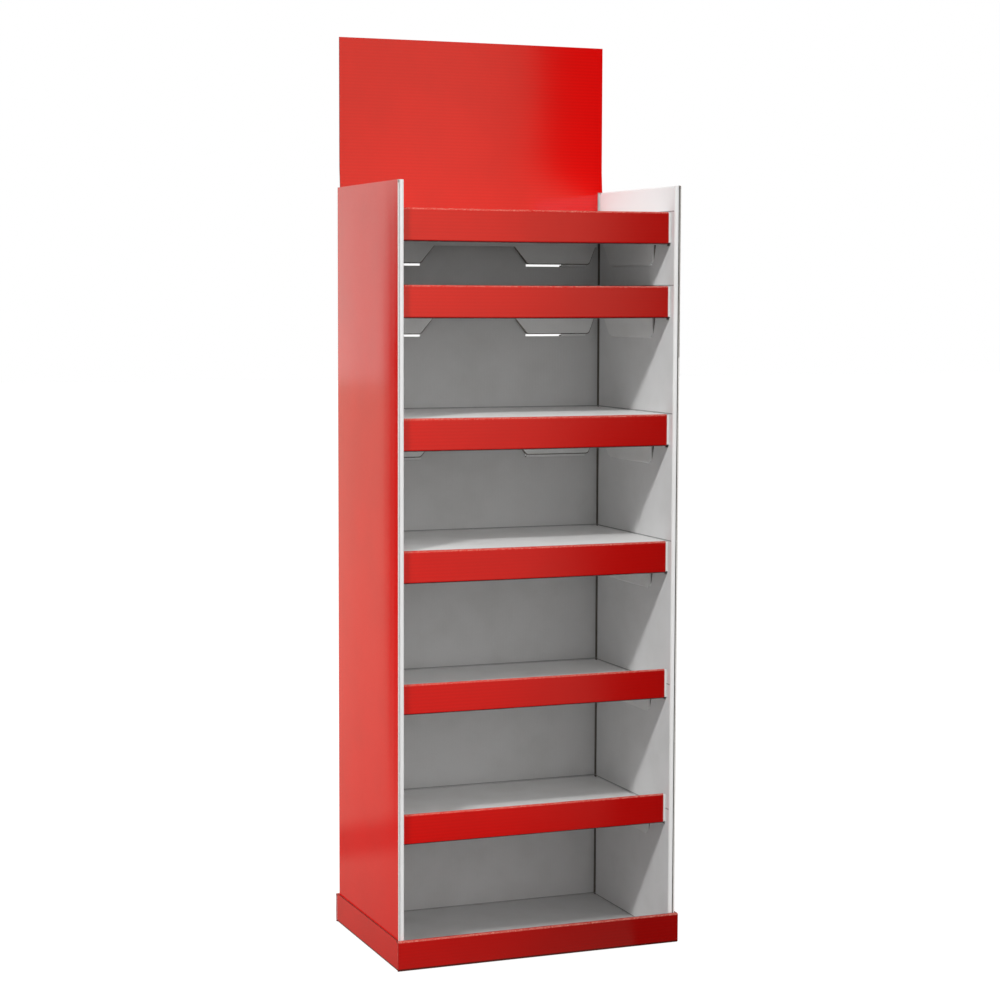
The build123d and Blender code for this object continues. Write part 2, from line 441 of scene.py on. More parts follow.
@dataclass
class FoldedBoard:
    """One sheet, or one flap of it, folded along a path and stretched along its folds.

    Args:
        stock: the board.
        path: centre line across the folds.
        axis: direction of the folds.
        reach: ends of the sheet along the folds.
        print_side: side of the path that is printed.
        print_spans: stretches of the path that are printed.
        windows: openings, each as (from, to) along the path and (from, to) along the folds.
        hollows: cut edges that lie open.
        nudges: grid points that are moved on the flat sheet, as (place, shift).
        flutes_cross: whether the core runs along the path instead of along the folds.
    """

    STEP = 45.0 * MM  # widest cell of the grid
    RUN_STEP = 6.0 * MM  # widest step of an edge run
    WAVE_INSET = 0.3 * MM  # from the cut edge to the wave

    stock: Stock
    path: FoldPath
    axis: Axis
    reach: Point
    print_side: Side = Side.LEFT
    print_spans: list[Point] = field(default_factory=list)
    windows: list[Area] = field(default_factory=list)
    hollows: list[Hollow] = field(default_factory=list)
    nudges: list[tuple[Point, Point]] = field(default_factory=list)
    flutes_cross: bool = False

    def hollow_patch(self, hollow: Hollow) -> Area:
        """Find the part of the flat sheet from which the core is left out.

        Args:
            hollow: the open edge.

        Returns:
            The stretches along the path and along the folds.
        """
        depth = self.stock.hollow
        low, high = self.reach
        along_path = hollow.stretch or (0.0, self.path.length)
        along_folds = hollow.stretch or self.reach
        patches = {
            Rim.START: ((0.0, depth), along_folds),
            Rim.END: ((self.path.length - depth, self.path.length), along_folds),
            Rim.LOW: (along_path, (low, low + depth)),
            Rim.HIGH: (along_path, (high - depth, high)),
        }
        return patches[hollow.rim]

    def edge_run(self, hollow: Hollow) -> EdgeRun:
        """Draw the line on which the wave of an open edge is laid.

        Args:
            hollow: the open edge.

        Returns:
            The line, just inside the edge.
        """
        span, stretch = self.hollow_patch(hollow)
        if hollow.rim in (Rim.LOW, Rim.HIGH):
            side = 1.0 if hollow.rim is Rim.LOW else -1.0
            edge = self.reach[0] if hollow.rim is Rim.LOW else self.reach[1]
            marks = [mark for mark in self.path.marks() if span[0] <= mark <= span[1]]
            places = [(s, edge + side * self.WAVE_INSET) for s in spread([*span, *marks], self.RUN_STEP)]
            inward = embed(self.axis, (0.0, 0.0), side)
        else:
            side = 1.0 if hollow.rim is Rim.START else -1.0
            edge = 0.0 if hollow.rim is Rim.START else self.path.length
            places = [(edge + side * self.WAVE_INSET, v) for v in spread(stretch, self.RUN_STEP)]
            _, normal = self.path.at(edge)
            inward = embed(self.axis, (normal[1] * side, -normal[0] * side), 0.0)
        points = [embed(self.axis, self.path.at(s)[0], v) for s, v in places]
        across = [embed(self.axis, self.path.at(s)[1], 0.0) for s, v in places]
        return EdgeRun(points, across, inward)

    def mesh(self) -> SheetMesh:
        """Fold the sheet.

        Returns:
            A closed mesh of both skins, the cut edges and the hollows, with the runs of its waves.
        """
        patches = [self.hollow_patch(hollow) for hollow in self.hollows]
        s_lines = self.path.marks()
        v_lines = list(self.reach)
        for span, stretch in self.windows + patches:
            s_lines += span
            v_lines += stretch
        for span in self.print_spans:
            s_lines += span
        s_lines = spread([min(max(line, 0.0), self.path.length) for line in s_lines], self.STEP)
        v_lines = spread([min(max(line, self.reach[0]), self.reach[1]) for line in v_lines], self.STEP)
        self._lay_grid(s_lines, v_lines)
        rows, columns = len(s_lines) - 1, len(v_lines) - 1
        cells = [(i, j) for i in range(rows) for j in range(columns)]
        self._present = {cell for cell in cells if not self._within(cell, self.windows)}
        self._open = {cell for cell in self._present if self._within(cell, patches)}
        self._made: dict[tuple[int, int, int], int] = {}
        self._out = SheetMesh()
        for cell in sorted(self._present):
            self._skin_faces(cell)
            self._edge_faces(cell)
        self._out.runs = [self.edge_run(hollow) for hollow in self.hollows if hollow.wavy]
        return self._out

    def _lay_grid(self, s_lines: list[float], v_lines: list[float]) -> None:
        """Place the grid points on the flat sheet and move those that are nudged.

        Args:
            s_lines: of the grid along the path.
            v_lines: of the grid along the folds.
        """
        self._grid = {(i, j): (s, v) for i, s in enumerate(s_lines) for j, v in enumerate(v_lines)}
        for place, shift in self.nudges:
            node = min(self._grid, key=lambda key: math.dist(self._grid[key], place))
            s, v = self._grid[node]
            self._grid[node] = (s + shift[0], v + shift[1])
        self._lines = (s_lines, v_lines)

    def _middle(self, cell: Spot) -> Point:
        """Return the middle of a cell on the flat sheet."""
        s_lines, v_lines = self._lines
        i, j = cell
        return (s_lines[i] + s_lines[i + 1]) / 2, (v_lines[j] + v_lines[j + 1]) / 2

    def _within(self, cell: Spot, areas: list[Area]) -> bool:
        """Say whether the middle of a cell lies in one of some areas."""
        s, v = self._middle(cell)
        return any(span[0] < s < span[1] and stretch[0] < v < stretch[1] for span, stretch in areas)

    def _vertex(self, node: Spot, level: int) -> int:
        """Find a vertex, and make it the first time.

        Args:
            node: grid point.
            level: through the board, from 0 on the right of the path to 3 on its left.

        Returns:
            The number of the vertex.
        """
        key = (*node, level)
        if key not in self._made:
            stock = self.stock
            inner = stock.half - stock.skin
            offset = (-stock.half, -inner, inner, stock.half)[level]
            s, v = self._grid[node]
            point, normal = self.path.at(s)
            shifted = (point[0] + normal[0] * offset, point[1] + normal[1] * offset)
            place = embed(self.axis, shifted, v)
            flat = (v, s) if self.flutes_cross else (s, v)
            self._made[key] = self._out.add_point(place, flat, self.path.bent(s))
        return self._made[key]

    def _skin_faces(self, cell: Spot) -> None:
        """Add the faces of both skins, on their inner sides too where the cell is hollow.

        Args:
            cell: of the grid.
        """
        i, j = cell
        corners = [(i, j), (i + 1, j), (i + 1, j + 1), (i, j + 1)]
        s, _ = self._middle(cell)
        printed = any(span[0] < s < span[1] for span in self.print_spans)
        left, right = (
            Face.PRINT if printed and self.print_side is side else Face.PLAIN
            for side in (Side.LEFT, Side.RIGHT)
        )
        levels = [(3, left), (0, right)]
        if cell in self._open:
            levels += [(2, Face.CUT), (1, Face.CUT)]
        for level, kind in levels:
            self._out.add_face([self._vertex(node, level) for node in corners], kind)

    def _edge_faces(self, cell: Spot) -> None:
        """Add the cut edges round a cell, and the end of the core where a hollow begins.

        Args:
            cell: of the grid.
        """
        i, j = cell
        sides = {
            (i - 1, j): ((i, j), (i, j + 1)),
            (i + 1, j): ((i + 1, j), (i + 1, j + 1)),
            (i, j - 1): ((i, j), (i + 1, j)),
            (i, j + 1): ((i, j + 1), (i + 1, j + 1)),
        }
        for other, (first, last) in sides.items():
            if other in self._present:
                bands = [(1, 2)] if cell not in self._open and other in self._open else []
            elif cell in self._open:
                bands = [(0, 1), (2, 3)]
            else:
                bands = self._full_edge(first, last)
            for low, high in bands:
                quad = [self._vertex(first, low), self._vertex(last, low)]
                quad += [self._vertex(last, high), self._vertex(first, high)]
                self._out.add_face(quad, Face.CUT)

    def _full_edge(self, first: Spot, last: Spot) -> list[Spot]:
        """Return the levels of a closed cut edge, split where a hollow touches its ends."""
        touches = {(n[0] - a, n[1] - b) for n in (first, last) for a in (0, 1) for b in (0, 1)}
        return [(0, 1), (1, 2), (2, 3)] if touches & self._open else [(0, 3)]


def plate(
    axis: Axis,
    outlines: tuple[list[Point], list[Point]],
    middle: float,
    thickness: float,
    edge: Face = Face.CUT,
) -> SheetMesh:
    """Make a flat piece of board with a free outline.

    Args:
        axis: direction through the board.
        outlines: corners in the other two directions, of its near and of its far side.
        middle: of the board along its axis.
        thickness: of the board.
        edge: kind of its edge.

    Returns:
        A closed mesh, plain on both sides.
    """
    out = SheetMesh()
    near, far = (
        [out.add_point(embed(axis, point, middle + side * thickness / 2), point) for point in outline]
        for side, outline in zip((-1, 1), outlines)
    )
    out.add_face(near, Face.PLAIN)
    out.add_face(far[::-1], Face.PLAIN)
    for index in range(len(near)):
        after = (index + 1) % len(near)
        out.add_face([near[index], near[after], far[after], far[index]], edge)
    return out


def rounded(corners: list[Point], radii: list[float], steps: int = 6) -> list[Point]:
    """Round the corners of an outline.

    Args:
        corners: of the outline, in order.
        radii: one for each corner, 0 for a sharp one.
        steps: of each arc.

    Returns:
        The outline with its arcs.
    """
    outline: list[Point] = []
    for index, corner in enumerate(corners):
        here = Vector(corner)
        back = Vector(corners[index - 1]) - here
        ahead = Vector(corners[(index + 1) % len(corners)]) - here
        radius = radii[index]
        if not radius:
            outline.append(corner)
            continue
        angle = back.angle(ahead)
        trim = radius / math.tan(angle / 2)
        back.normalize()
        ahead.normalize()
        centre = here + (back + ahead).normalized() * radius / math.sin(angle / 2)
        start = here + back * trim - centre
        sweep = start.angle_signed(here + ahead * trim - centre)
        for step in range(steps + 1):
            arm = start.copy()
            arm.rotate(Matrix.Rotation(-sweep * step / steps, 2))
            outline.append((centre.x + arm.x, centre.y + arm.y))
    return outline


class NodeTree:
    """Node tree of a material, of the world or of Geometry Nodes."""

    def __init__(self, tree: bpy.types.NodeTree) -> None:
        """Take the tree that is to be filled."""
        self.tree = tree

    def node(
        self, kind: str, inputs: dict[object, object] | None = None, **settings: object
    ) -> bpy.types.Node:
        """Add a node.

        Args:
            kind: of node, by its Blender name.
            inputs: values of sockets, or sockets to link, by socket name or number.
            settings: properties of the node.

        Returns:
            The node.
        """
        made = self.tree.nodes.new(kind)
        for name, value in settings.items():
            setattr(made, name, value)
        for key, value in (inputs or {}).items():
            self.feed(made.inputs[key], value)
        return made

    def feed(self, socket: Socket, value: object) -> None:
        """Fill a socket.

        Args:
            socket: an input.
            value: the output to link to it, or its new value.
        """
        if isinstance(value, Socket):
            self.tree.links.new(value, socket)
        else:
            socket.default_value = value

    def math(self, operation: str, *values: object, clamp: bool = False) -> Socket:
        """Return the result of a calculation on numbers or sockets."""
        made = self.node("ShaderNodeMath", dict(enumerate(values)), operation=operation, use_clamp=clamp)
        return made.outputs[0]

    def parts(self, vector: Socket) -> bpy.types.NodeOutputs:
        """Return the three numbers of a vector."""
        return self.node("ShaderNodeSeparateXYZ", {0: vector}).outputs

    def band(self, value: Socket, ends: Point, first: float = 0.0, last: float = 1.0) -> Socket:
        """Make a smooth step.

        Args:
            value: that runs over the step.
            ends: values at which the step begins and ends.
            first: result before the step.
            last: result after it.

        Returns:
            The result.
        """
        inputs = {
            "Value": value, "From Min": ends[0], "From Max": ends[1], "To Min": first, "To Max": last
        }
        return self.node("ShaderNodeMapRange", inputs, interpolation_type="SMOOTHSTEP").outputs[0]

    def blend(self, factor: object, first: object, second: object) -> Socket:
        """Return a mix of two numbers."""
        return self.node("ShaderNodeMix", {0: factor, 2: first, 3: second}).outputs[0]

    def mix(self, factor: object, first: object, second: object) -> Socket:
        """Mix two colours.

        Args:
            factor: share of the second colour.
            first: colour or socket.
            second: colour or socket.

        Returns:
            The mixed colour.
        """
        made = self.node("ShaderNodeMix", {"Factor": factor}, data_type="RGBA")
        for key, value in ((6, first), (7, second)):
            self.feed(made.inputs[key], (*value, 1.0) if isinstance(value, tuple) else value)
        return made.outputs[2]


class Shader(NodeTree):
    """Node tree of one material, with its Principled shader."""

    def __init__(self, name: str) -> None:
        """Start a material.

        Args:
            name: of the material.
        """
        self.material = bpy.data.materials.new(name)
        self.material.use_nodes = True
        super().__init__(self.material.node_tree)
        self.bsdf = self.tree.nodes["Principled BSDF"]

    def noise(self, coordinates: Socket, scale: float, detail: float = 3.0) -> Socket:
        """Return a cloudy pattern between 0 and 1."""
        inputs = {"Vector": coordinates, "Scale": scale, "Detail": detail}
        return self.node("ShaderNodeTexNoise", inputs).outputs[0]

    def flat(self) -> Socket:
        """Return the place on the flat sheet, across the flutes first."""
        return self.node("ShaderNodeUVMap", uv_map="flat").outputs[0]

    def place(self) -> Socket:
        """Return the place in the frame."""
        return self.node("ShaderNodeTexCoord").outputs["Object"]

    def washboard(self, pitch: float) -> Socket:
        """Return the faint wave that the core leaves in the skins."""
        across = self.parts(self.flat())["X"]
        return self.math("SINE", self.math("MULTIPLY", across, math.tau / pitch))

    def bump(self, height: Socket, distance: float, below: Socket | None = None) -> Socket:
        """Tilt the surface.

        Args:
            height: pattern that is raised.
            distance: real height of the pattern.
            below: normal that it is laid on, or None for the plain surface.

        Returns:
            The tilted normal.
        """
        made = self.node("ShaderNodeBump", {"Height": height, "Distance": distance})
        if below is not None:
            self.feed(made.inputs["Normal"], below)
        return made.outputs[0]

    def finish(self, inputs: dict[str, object]) -> bpy.types.Material:
        """Fill sockets of the Principled shader.

        Args:
            inputs: values or sockets, by socket name.

        Returns:
            The material.
        """
        for key, value in inputs.items():
            self.feed(self.bsdf.inputs[key], value)
        return self.material


def toned(colour: Colour, share: float) -> Colour:
    """Return a colour at a share of its brightness."""
    red, green, blue = colour
    return red * share, green * share, blue * share


@dataclass(frozen=True)
class Patch:
    """Part of a skin that has another colour; the patches here paint shade and light.

    Args:
        colour: of the patch.
        outside: distance from the middle plane beyond which it lies.
        heights: between which it lies.
    """

    colour: Colour
    outside: float
    heights: Point

    EDGE = 0.3 * MM  # over which the patch comes up

    def mask(self, shade: Shader) -> Socket:
        """Find the patch in a material.

        Args:
            shade: node tree of the material.

        Returns:
            1 on the patch and 0 elsewhere.
        """
        x, _, z = shade.parts(shade.place())
        outer = shade.band(shade.math("ABSOLUTE", x), (self.outside, self.outside + self.EDGE))
        low, high = (shade.math("GREATER_THAN", z, height) for height in self.heights)
        return shade.math("MULTIPLY", outer, shade.math("SUBTRACT", low, high))


@dataclass(frozen=True)
class PrintFinish:
    """Gloss red print on a white skin.

    Args:
        name: of the material.
        ink: colour of the print.
        deep: colour at the end of the sweep, painted shade (on the header, painted light); darkened, also
            the painted shade under folds.
        worn: colour of the paper that shows through where the print cracks on a fold.
        sweep: from and to, along X, over which the ink goes from its plain to its deep colour: painted
            shade, on the header painted light.
        margin: part with painted shade, used for the foot of the tray.
        pitch: of the wave below the skin.
    """

    name: str
    ink: Colour
    deep: Colour
    worn: Colour = (0.82, 0.36, 0.28)
    sweep: Point | None = None
    margin: Patch | None = None
    pitch: float = FLUTE_PITCH

    # Scales of the patterns, the values between which they come up, and their tones and depths
    MOTTLE = 9.0
    MOTTLED = (0.35, 0.75)
    MOTTLE_TONE = 0.93
    FIBRE = 700.0
    FIBRE_DETAIL = 2.0
    UNEVEN = 5.0
    WASHBOARD_DEPTH = 0.018 * MM
    FIBRE_DEPTH = 0.008 * MM
    UNEVEN_DEPTH = 0.25 * MM
    RIDGE = 0.22
    RIDGE_TONE = 0.75
    UPPER = (-0.35, 0.5)
    # UNDER and UNDER_TONE paint shade on folds that face downwards
    UNDER = (0.1, 0.6)
    UNDER_TONE = 0.2
    CRACKED = (0.42, 0.62)
    CRACK = 0.75
    ROUGHNESS = 0.04
    ROUGH_FIBRE = 0.1
    IOR = 1.55

    def material(self) -> bpy.types.Material:
        """Build the material.

        Returns:
            The material.
        """
        shade = Shader(self.name)
        place = shade.place()
        fibre = shade.noise(place, self.FIBRE, self.FIBRE_DETAIL)
        mottle = shade.band(shade.noise(place, self.MOTTLE), self.MOTTLED)
        colour = shade.mix(mottle, self.ink, toned(self.ink, self.MOTTLE_TONE))
        # painted shade along X, on the header painted light
        if self.sweep:
            colour = shade.mix(shade.band(shade.parts(place)["X"], self.sweep), colour, self.deep)
        wave = shade.washboard(self.pitch)
        ridge = shade.math("MULTIPLY", shade.band(wave, (-1.0, 1.0)), self.RIDGE)
        colour = shade.mix(ridge, colour, toned(self.ink, self.RIDGE_TONE))
        bent = shade.node("ShaderNodeAttribute", attribute_name="bent").outputs["Fac"]
        upward = shade.parts(shade.node("ShaderNodeTexCoord").outputs["Normal"])["Z"]
        downward = shade.math("MULTIPLY", upward, -1.0)
        # Painted shade: folds that face downwards are darkened towards the deep colour
        under = shade.math("MULTIPLY", bent, shade.band(downward, self.UNDER))
        colour = shade.mix(under, colour, toned(self.deep, self.UNDER_TONE))
        crack = shade.math("MULTIPLY", shade.band(fibre, self.CRACKED), bent)
        crack = shade.math("MULTIPLY", crack, shade.band(upward, self.UPPER))
        colour = shade.mix(shade.math("MULTIPLY", crack, self.CRACK), colour, self.worn)
        # painted shade over the margin
        if self.margin:
            colour = shade.mix(self.margin.mask(shade), colour, self.margin.colour)
        normal = shade.bump(shade.noise(place, self.UNEVEN, 0.0), self.UNEVEN_DEPTH)
        normal = shade.bump(wave, self.WASHBOARD_DEPTH, normal)
        normal = shade.bump(fibre, self.FIBRE_DEPTH, normal)
        rough = shade.math("MULTIPLY_ADD", fibre, self.ROUGH_FIBRE, self.ROUGHNESS)
        inputs = {"Base Color": colour, "Roughness": rough, "IOR": self.IOR, "Normal": normal}
        return shade.finish(inputs)


@dataclass(frozen=True)
class PlainFinish:
    """White skin without print.

    Args:
        name: of the material.
        paper: colour of the skin.
        cloud: colour of its darker clouds.
        patches: parts that have another colour: painted shade and painted light.
        pitch: of the wave below the skin.
    """

    name: str
    paper: Colour
    cloud: Colour
    patches: tuple[Patch, ...] = ()
    pitch: float = FLUTE_PITCH

    # Scales of the patterns, the values between which they come up, and their tones and depths
    CLOUDS = 14.0
    CLOUD_DETAIL = 4.0
    CLOUDED = (0.35, 0.8)
    WAVE_TONE = 0.06
    FIBRE = 620.0
    FIBRE_DETAIL = 2.0
    SPECKED = (0.66, 0.74)
    SPECK = 0.5
    SPECK_TONE = 0.8
    WASHBOARD_DEPTH = 0.03 * MM
    FIBRE_DEPTH = 0.03 * MM
    ROUGHNESS = 0.62
    IOR = 1.4

    def material(self) -> bpy.types.Material:
        """Build the material.

        Returns:
            The material.
        """
        shade = Shader(self.name)
        place = shade.place()
        fibre = shade.noise(place, self.FIBRE, self.FIBRE_DETAIL)
        clouds = shade.band(shade.noise(place, self.CLOUDS, self.CLOUD_DETAIL), self.CLOUDED)
        wave = shade.washboard(self.pitch)
        tone = shade.math("ADD", shade.math("MULTIPLY", wave, self.WAVE_TONE), clouds, clamp=True)
        colour = shade.mix(tone, self.paper, self.cloud)
        specks = shade.math("MULTIPLY", shade.band(fibre, self.SPECKED), self.SPECK)
        colour = shade.mix(specks, colour, toned(self.cloud, self.SPECK_TONE))
        # painted shade and painted light from the patches
        for patch in self.patches:
            colour = shade.mix(patch.mask(shade), colour, patch.colour)
        normal = shade.bump(wave, self.WASHBOARD_DEPTH)
        normal = shade.bump(fibre, self.FIBRE_DEPTH, normal)
        inputs = {"Base Color": colour, "Roughness": self.ROUGHNESS, "IOR": self.IOR, "Normal": normal}
        return shade.finish(inputs)


@dataclass(frozen=True)
class FibreFinish:
    """Torn paper fibres of a cut edge, or the brown paper of the core.

    Args:
        name: of the material.
        light: colour of the fibres.
        dark: colour between them.
    """

    name: str
    light: Colour
    dark: Colour

    GRAIN = 480.0
    GRAINED = (0.35, 0.65)
    GRAIN_DEPTH = 0.12 * MM
    ROUGHNESS = 0.85

    def material(self) -> bpy.types.Material:
        """Build the material.

        Returns:
            The material.
        """
        shade = Shader(self.name)
        grain = shade.noise(shade.place(), self.GRAIN)
        colour = shade.mix(shade.band(grain, self.GRAINED), self.dark, self.light)
        normal = shade.bump(grain, self.GRAIN_DEPTH)
        return shade.finish({"Base Color": colour, "Roughness": self.ROUGHNESS, "Normal": normal})


RED = (0.67, 0.0012, 0.0004)
# Painted light: the header's red at its right end, brighter than the plain red
HEADER_LIT_RED = (0.75, 0.0008, 0.0003)
# Painted light: a brighter copy of the red for the lips
LIP_LIT_RED = (0.74, 0.0012, 0.0004)
# Painted shade: the red darkened towards the right of the lips, and under folds
SHADED_RED = (0.44, 0.001, 0.0004)
TRAY_RED = (0.58, 0.001, 0.0004)
# Painted shade: the tray's red darkened towards its right
SHADED_TRAY_RED = (0.31, 0.001, 0.0004)
# Painted shade: the faces inside the side walls are painted dark, as the cavity there lies in shade
CAVITY_SHADE = (0.19, 0.17, 0.15)
# Painted shade: a grey line on the walls just above each floor, where the floor meets the wall
JUNCTION_SHADE = (0.36, 0.355, 0.35)
JUNCTION_SHADE_BAND = (0.3 * MM, 2.2 * MM)  # above a floor
# Painted light: a whiter, slightly cyan skin above the top shelf, against the red light thrown from the
# header
PAINTED_LIGHT_WHITE = (0.93, 0.995, 0.995)
# Painted shade: a dark band along the foot of the tray, where it meets the floor
FOOT_SHADE = (0.15, 0.006, 0.003)
FOOT_SHADE_HEIGHT = 1.6  # height of the painted shade along the foot, in thicknesses of board


class Finishes:
    """Materials of the stand, made once and shared by its sheets."""

    def __init__(self, planes: "Planes", floors: list[float]) -> None:
        """Build every material.

        Args:
            planes: that the sheets share.
            floors: heights of the floors, above which a painted shade line runs along the walls.
        """
        _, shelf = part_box("shelf_1")
        board = planes.stock.thickness
        # painted shade on the rear skin where it lies inside the side walls
        hidden_shade = Patch(CAVITY_SHADE, planes.wall_x, (0.0, shelf.z))
        cavity_shade = Patch(CAVITY_SHADE, planes.body_x - 2 * board, (shelf.z, planes.body_top))
        # painted light on the skins above the top shelf
        upper = Patch(PAINTED_LIGHT_WHITE, 0.0, (shelf.z, planes.body_top))
        # painted shade lines on the walls, just above each floor
        junction_shade = tuple(Patch(JUNCTION_SHADE, 0.0, (floor + JUNCTION_SHADE_BAND[0], floor + JUNCTION_SHADE_BAND[1])) for floor in floors)
        foot_shade = Patch(FOOT_SHADE, 0.0, (-board, FOOT_SHADE_HEIGHT * board))
        inner, rear = (upper, *junction_shade), (upper, hidden_shade, cavity_shade, *junction_shade)
        self.plain = PlainFinish("white_skin", (0.95, 0.95, 0.945), (0.92, 0.92, 0.91)).material()
        self.inside = PlainFinish("inner_skin", (0.82, 0.82, 0.82), (0.77, 0.77, 0.765), inner).material()
        self.back = PlainFinish("rear_skin", (0.69, 0.69, 0.69), (0.64, 0.64, 0.635), rear).material()
        self.shelf = PlainFinish("shelf_skin", (0.90, 0.90, 0.895), (0.85, 0.845, 0.835)).material()
        self.cut = FibreFinish("cut_edge", (0.90, 0.89, 0.87), (0.78, 0.76, 0.73)).material()
        # Partly the raw board and partly painted shade: shelf and liner cut edges are darker than other
        # cut edges, for the shade in the gaps beside them
        self.shaded_edge = FibreFinish("shaded_cut_edge", (0.36, 0.33, 0.30), (0.15, 0.13, 0.115)).material()
        self.red_edge = FibreFinish("printed_edge", (0.30, 0.022, 0.014), (0.14, 0.01, 0.007)).material()
        self.core = FibreFinish("core_paper", (0.44, 0.34, 0.235), (0.27, 0.2, 0.13)).material()
        # The sweeps paint light and shade along X: the header gets brighter towards the right, the lips
        # and the tray darker
        self.wrap = PrintFinish("side_print", RED, SHADED_RED).material()
        self.header = PrintFinish("header_print", RED, HEADER_LIT_RED, sweep=(0.05, 0.29)).material()
        self.lip = PrintFinish("lip_print", LIP_LIT_RED, SHADED_RED, sweep=(-0.2, 0.30)).material()
        tray = PrintFinish("tray_print", TRAY_RED, SHADED_TRAY_RED, sweep=(-0.28, 0.22), margin=foot_shade)
        self.tray = tray.material()


class FluteTree(NodeTree):
    """Geometry Nodes tree that turns the line of an open edge into the wave of the core."""

    STEPS_PER_WAVE = 8
    MERGE = 0.001 * MM

    def __init__(self, stock: Stock, core: bpy.types.Material) -> None:
        """Build the tree.

        Args:
            stock: the board, for the sizes of its core.
            core: material of the core.
        """
        super().__init__(bpy.data.node_groups.new("core_wave", "GeometryNodeTree"))
        self.sizes = {
            "Pitch": stock.pitch,
            "Swing": stock.half - stock.skin - stock.core / 2,
            "Depth": stock.hollow - FoldedBoard.WAVE_INSET,
            "Paper": stock.core,
        }
        self.inputs: dict[str, str] = {}
        self._sockets()
        self._nodes(core)

    def _sockets(self) -> None:
        face = self.tree.interface
        face.new_socket("Geometry", in_out="INPUT", socket_type="NodeSocketGeometry")
        for name in self.sizes:
            socket = face.new_socket(name, in_out="INPUT", socket_type="NodeSocketFloat")
            self.inputs[name] = socket.identifier
        face.new_socket("Geometry", in_out="OUTPUT", socket_type="NodeSocketGeometry")

    def _vector(self, name: str, scale: object) -> Socket:
        """Return a named vector of the line, scaled."""
        read = self.node("GeometryNodeInputNamedAttribute", {"Name": name}, data_type="FLOAT_VECTOR")
        inputs = {0: read.outputs["Attribute"], "Scale": scale}
        return self.node("ShaderNodeVectorMath", inputs, operation="SCALE").outputs[0]

    def _wavy_line(self, given: bpy.types.NodeOutputs) -> Socket:
        """Draw the wave on the line.

        Args:
            given: the tree's geometry and sizes.

        Returns:
            The wave as a mesh of edges.
        """
        curve = self.node("GeometryNodeMeshToCurve", {"Mesh": given["Geometry"]}).outputs[0]
        step = self.math("DIVIDE", given["Pitch"], float(self.STEPS_PER_WAVE))
        even = self.node("GeometryNodeResampleCurve", {"Curve": curve, "Length": step}, mode="LENGTH")
        along = self.node("GeometryNodeSplineParameter").outputs["Length"]
        angle = self.math("MULTIPLY", self.math("DIVIDE", along, given["Pitch"]), math.tau)
        swing = self.math("MULTIPLY", self.math("SINE", angle), given["Swing"])
        inputs = {"Geometry": even.outputs[0], "Offset": self._vector("across", swing)}
        moved = self.node("GeometryNodeSetPosition", inputs).outputs[0]
        return self.node("GeometryNodeCurveToMesh", {"Curve": moved}).outputs[0]

    def _nodes(self, core: bpy.types.Material) -> None:
        """Draw the wave into the board, and give it thickness and material.

        Args:
            core: material of the core.
        """
        given = self.node("NodeGroupInput").outputs
        inward = self._vector("inward", given["Depth"])
        inputs = {"Mesh": self._wavy_line(given), "Offset": inward, "Offset Scale": 1.0}
        ribbon = self.node("GeometryNodeExtrudeMesh", inputs, mode="EDGES").outputs["Mesh"]
        inputs = {"Mesh": ribbon, "Offset Scale": given["Paper"], "Individual": False}
        front = self.node("GeometryNodeExtrudeMesh", inputs, mode="FACES").outputs["Mesh"]
        back = self.node("GeometryNodeFlipFaces", {"Mesh": ribbon}).outputs["Mesh"]
        both = self.node("GeometryNodeJoinGeometry")
        for side in (front, back):
            self.feed(both.inputs[0], side)
        inputs = {"Geometry": both.outputs[0], "Distance": self.MERGE}
        merged = self.node("GeometryNodeMergeByDistance", inputs).outputs[0]
        plain = self.node("GeometryNodeRealizeInstances", {"Geometry": merged}).outputs[0]
        dressed = self.node("GeometryNodeSetMaterial", {"Geometry": plain, "Material": core}).outputs[0]
        self.node("NodeGroupOutput", {0: dressed})

    def lay(self, name: str, runs: list[EdgeRun]) -> bpy.types.Object:
        """Lay the wave along the open edges of a sheet.

        Args:
            name: of the piece.
            runs: the edges.

        Returns:
            A plain mesh object.
        """
        points: list[Vector] = []
        edges: list[tuple[int, int]] = []
        across: list[float] = []
        inward: list[float] = []
        for run in runs:
            base = len(points)
            points += run.points
            edges += [(base + k, base + k + 1) for k in range(len(run.points) - 1)]
            for vector in run.across:
                across.extend(vector)
                inward.extend(run.inward)
        mesh = bpy.data.meshes.new(name)
        mesh.from_pydata(points, edges, [])
        for label, values in (("across", across), ("inward", inward)):
            mesh.attributes.new(label, "FLOAT_VECTOR", "POINT").data.foreach_set("vector", values)
        holder = bpy.data.objects.new(name, mesh)
        bpy.context.scene.collection.objects.link(holder)
        modifier = holder.modifiers.new("wave", "NODES")
        modifier.node_group = self.tree
        for label, identifier in self.inputs.items():
            modifier[identifier] = self.sizes[label]
        evaluated = holder.evaluated_get(bpy.context.evaluated_depsgraph_get())
        holder_mesh = bpy.data.meshes.new_from_object(evaluated)
        holder.modifiers.clear()
        holder.data = holder_mesh
        face_outwards(holder_mesh)
        return holder


def face_outwards(mesh: bpy.types.Mesh) -> None:
    """Turn all faces of a closed mesh outwards.

    Args:
        mesh: that is changed.
    """
    work = bmesh.new()
    work.from_mesh(mesh)
    bmesh.ops.recalc_face_normals(work, faces=work.faces)
    work.to_mesh(mesh)
    work.free()


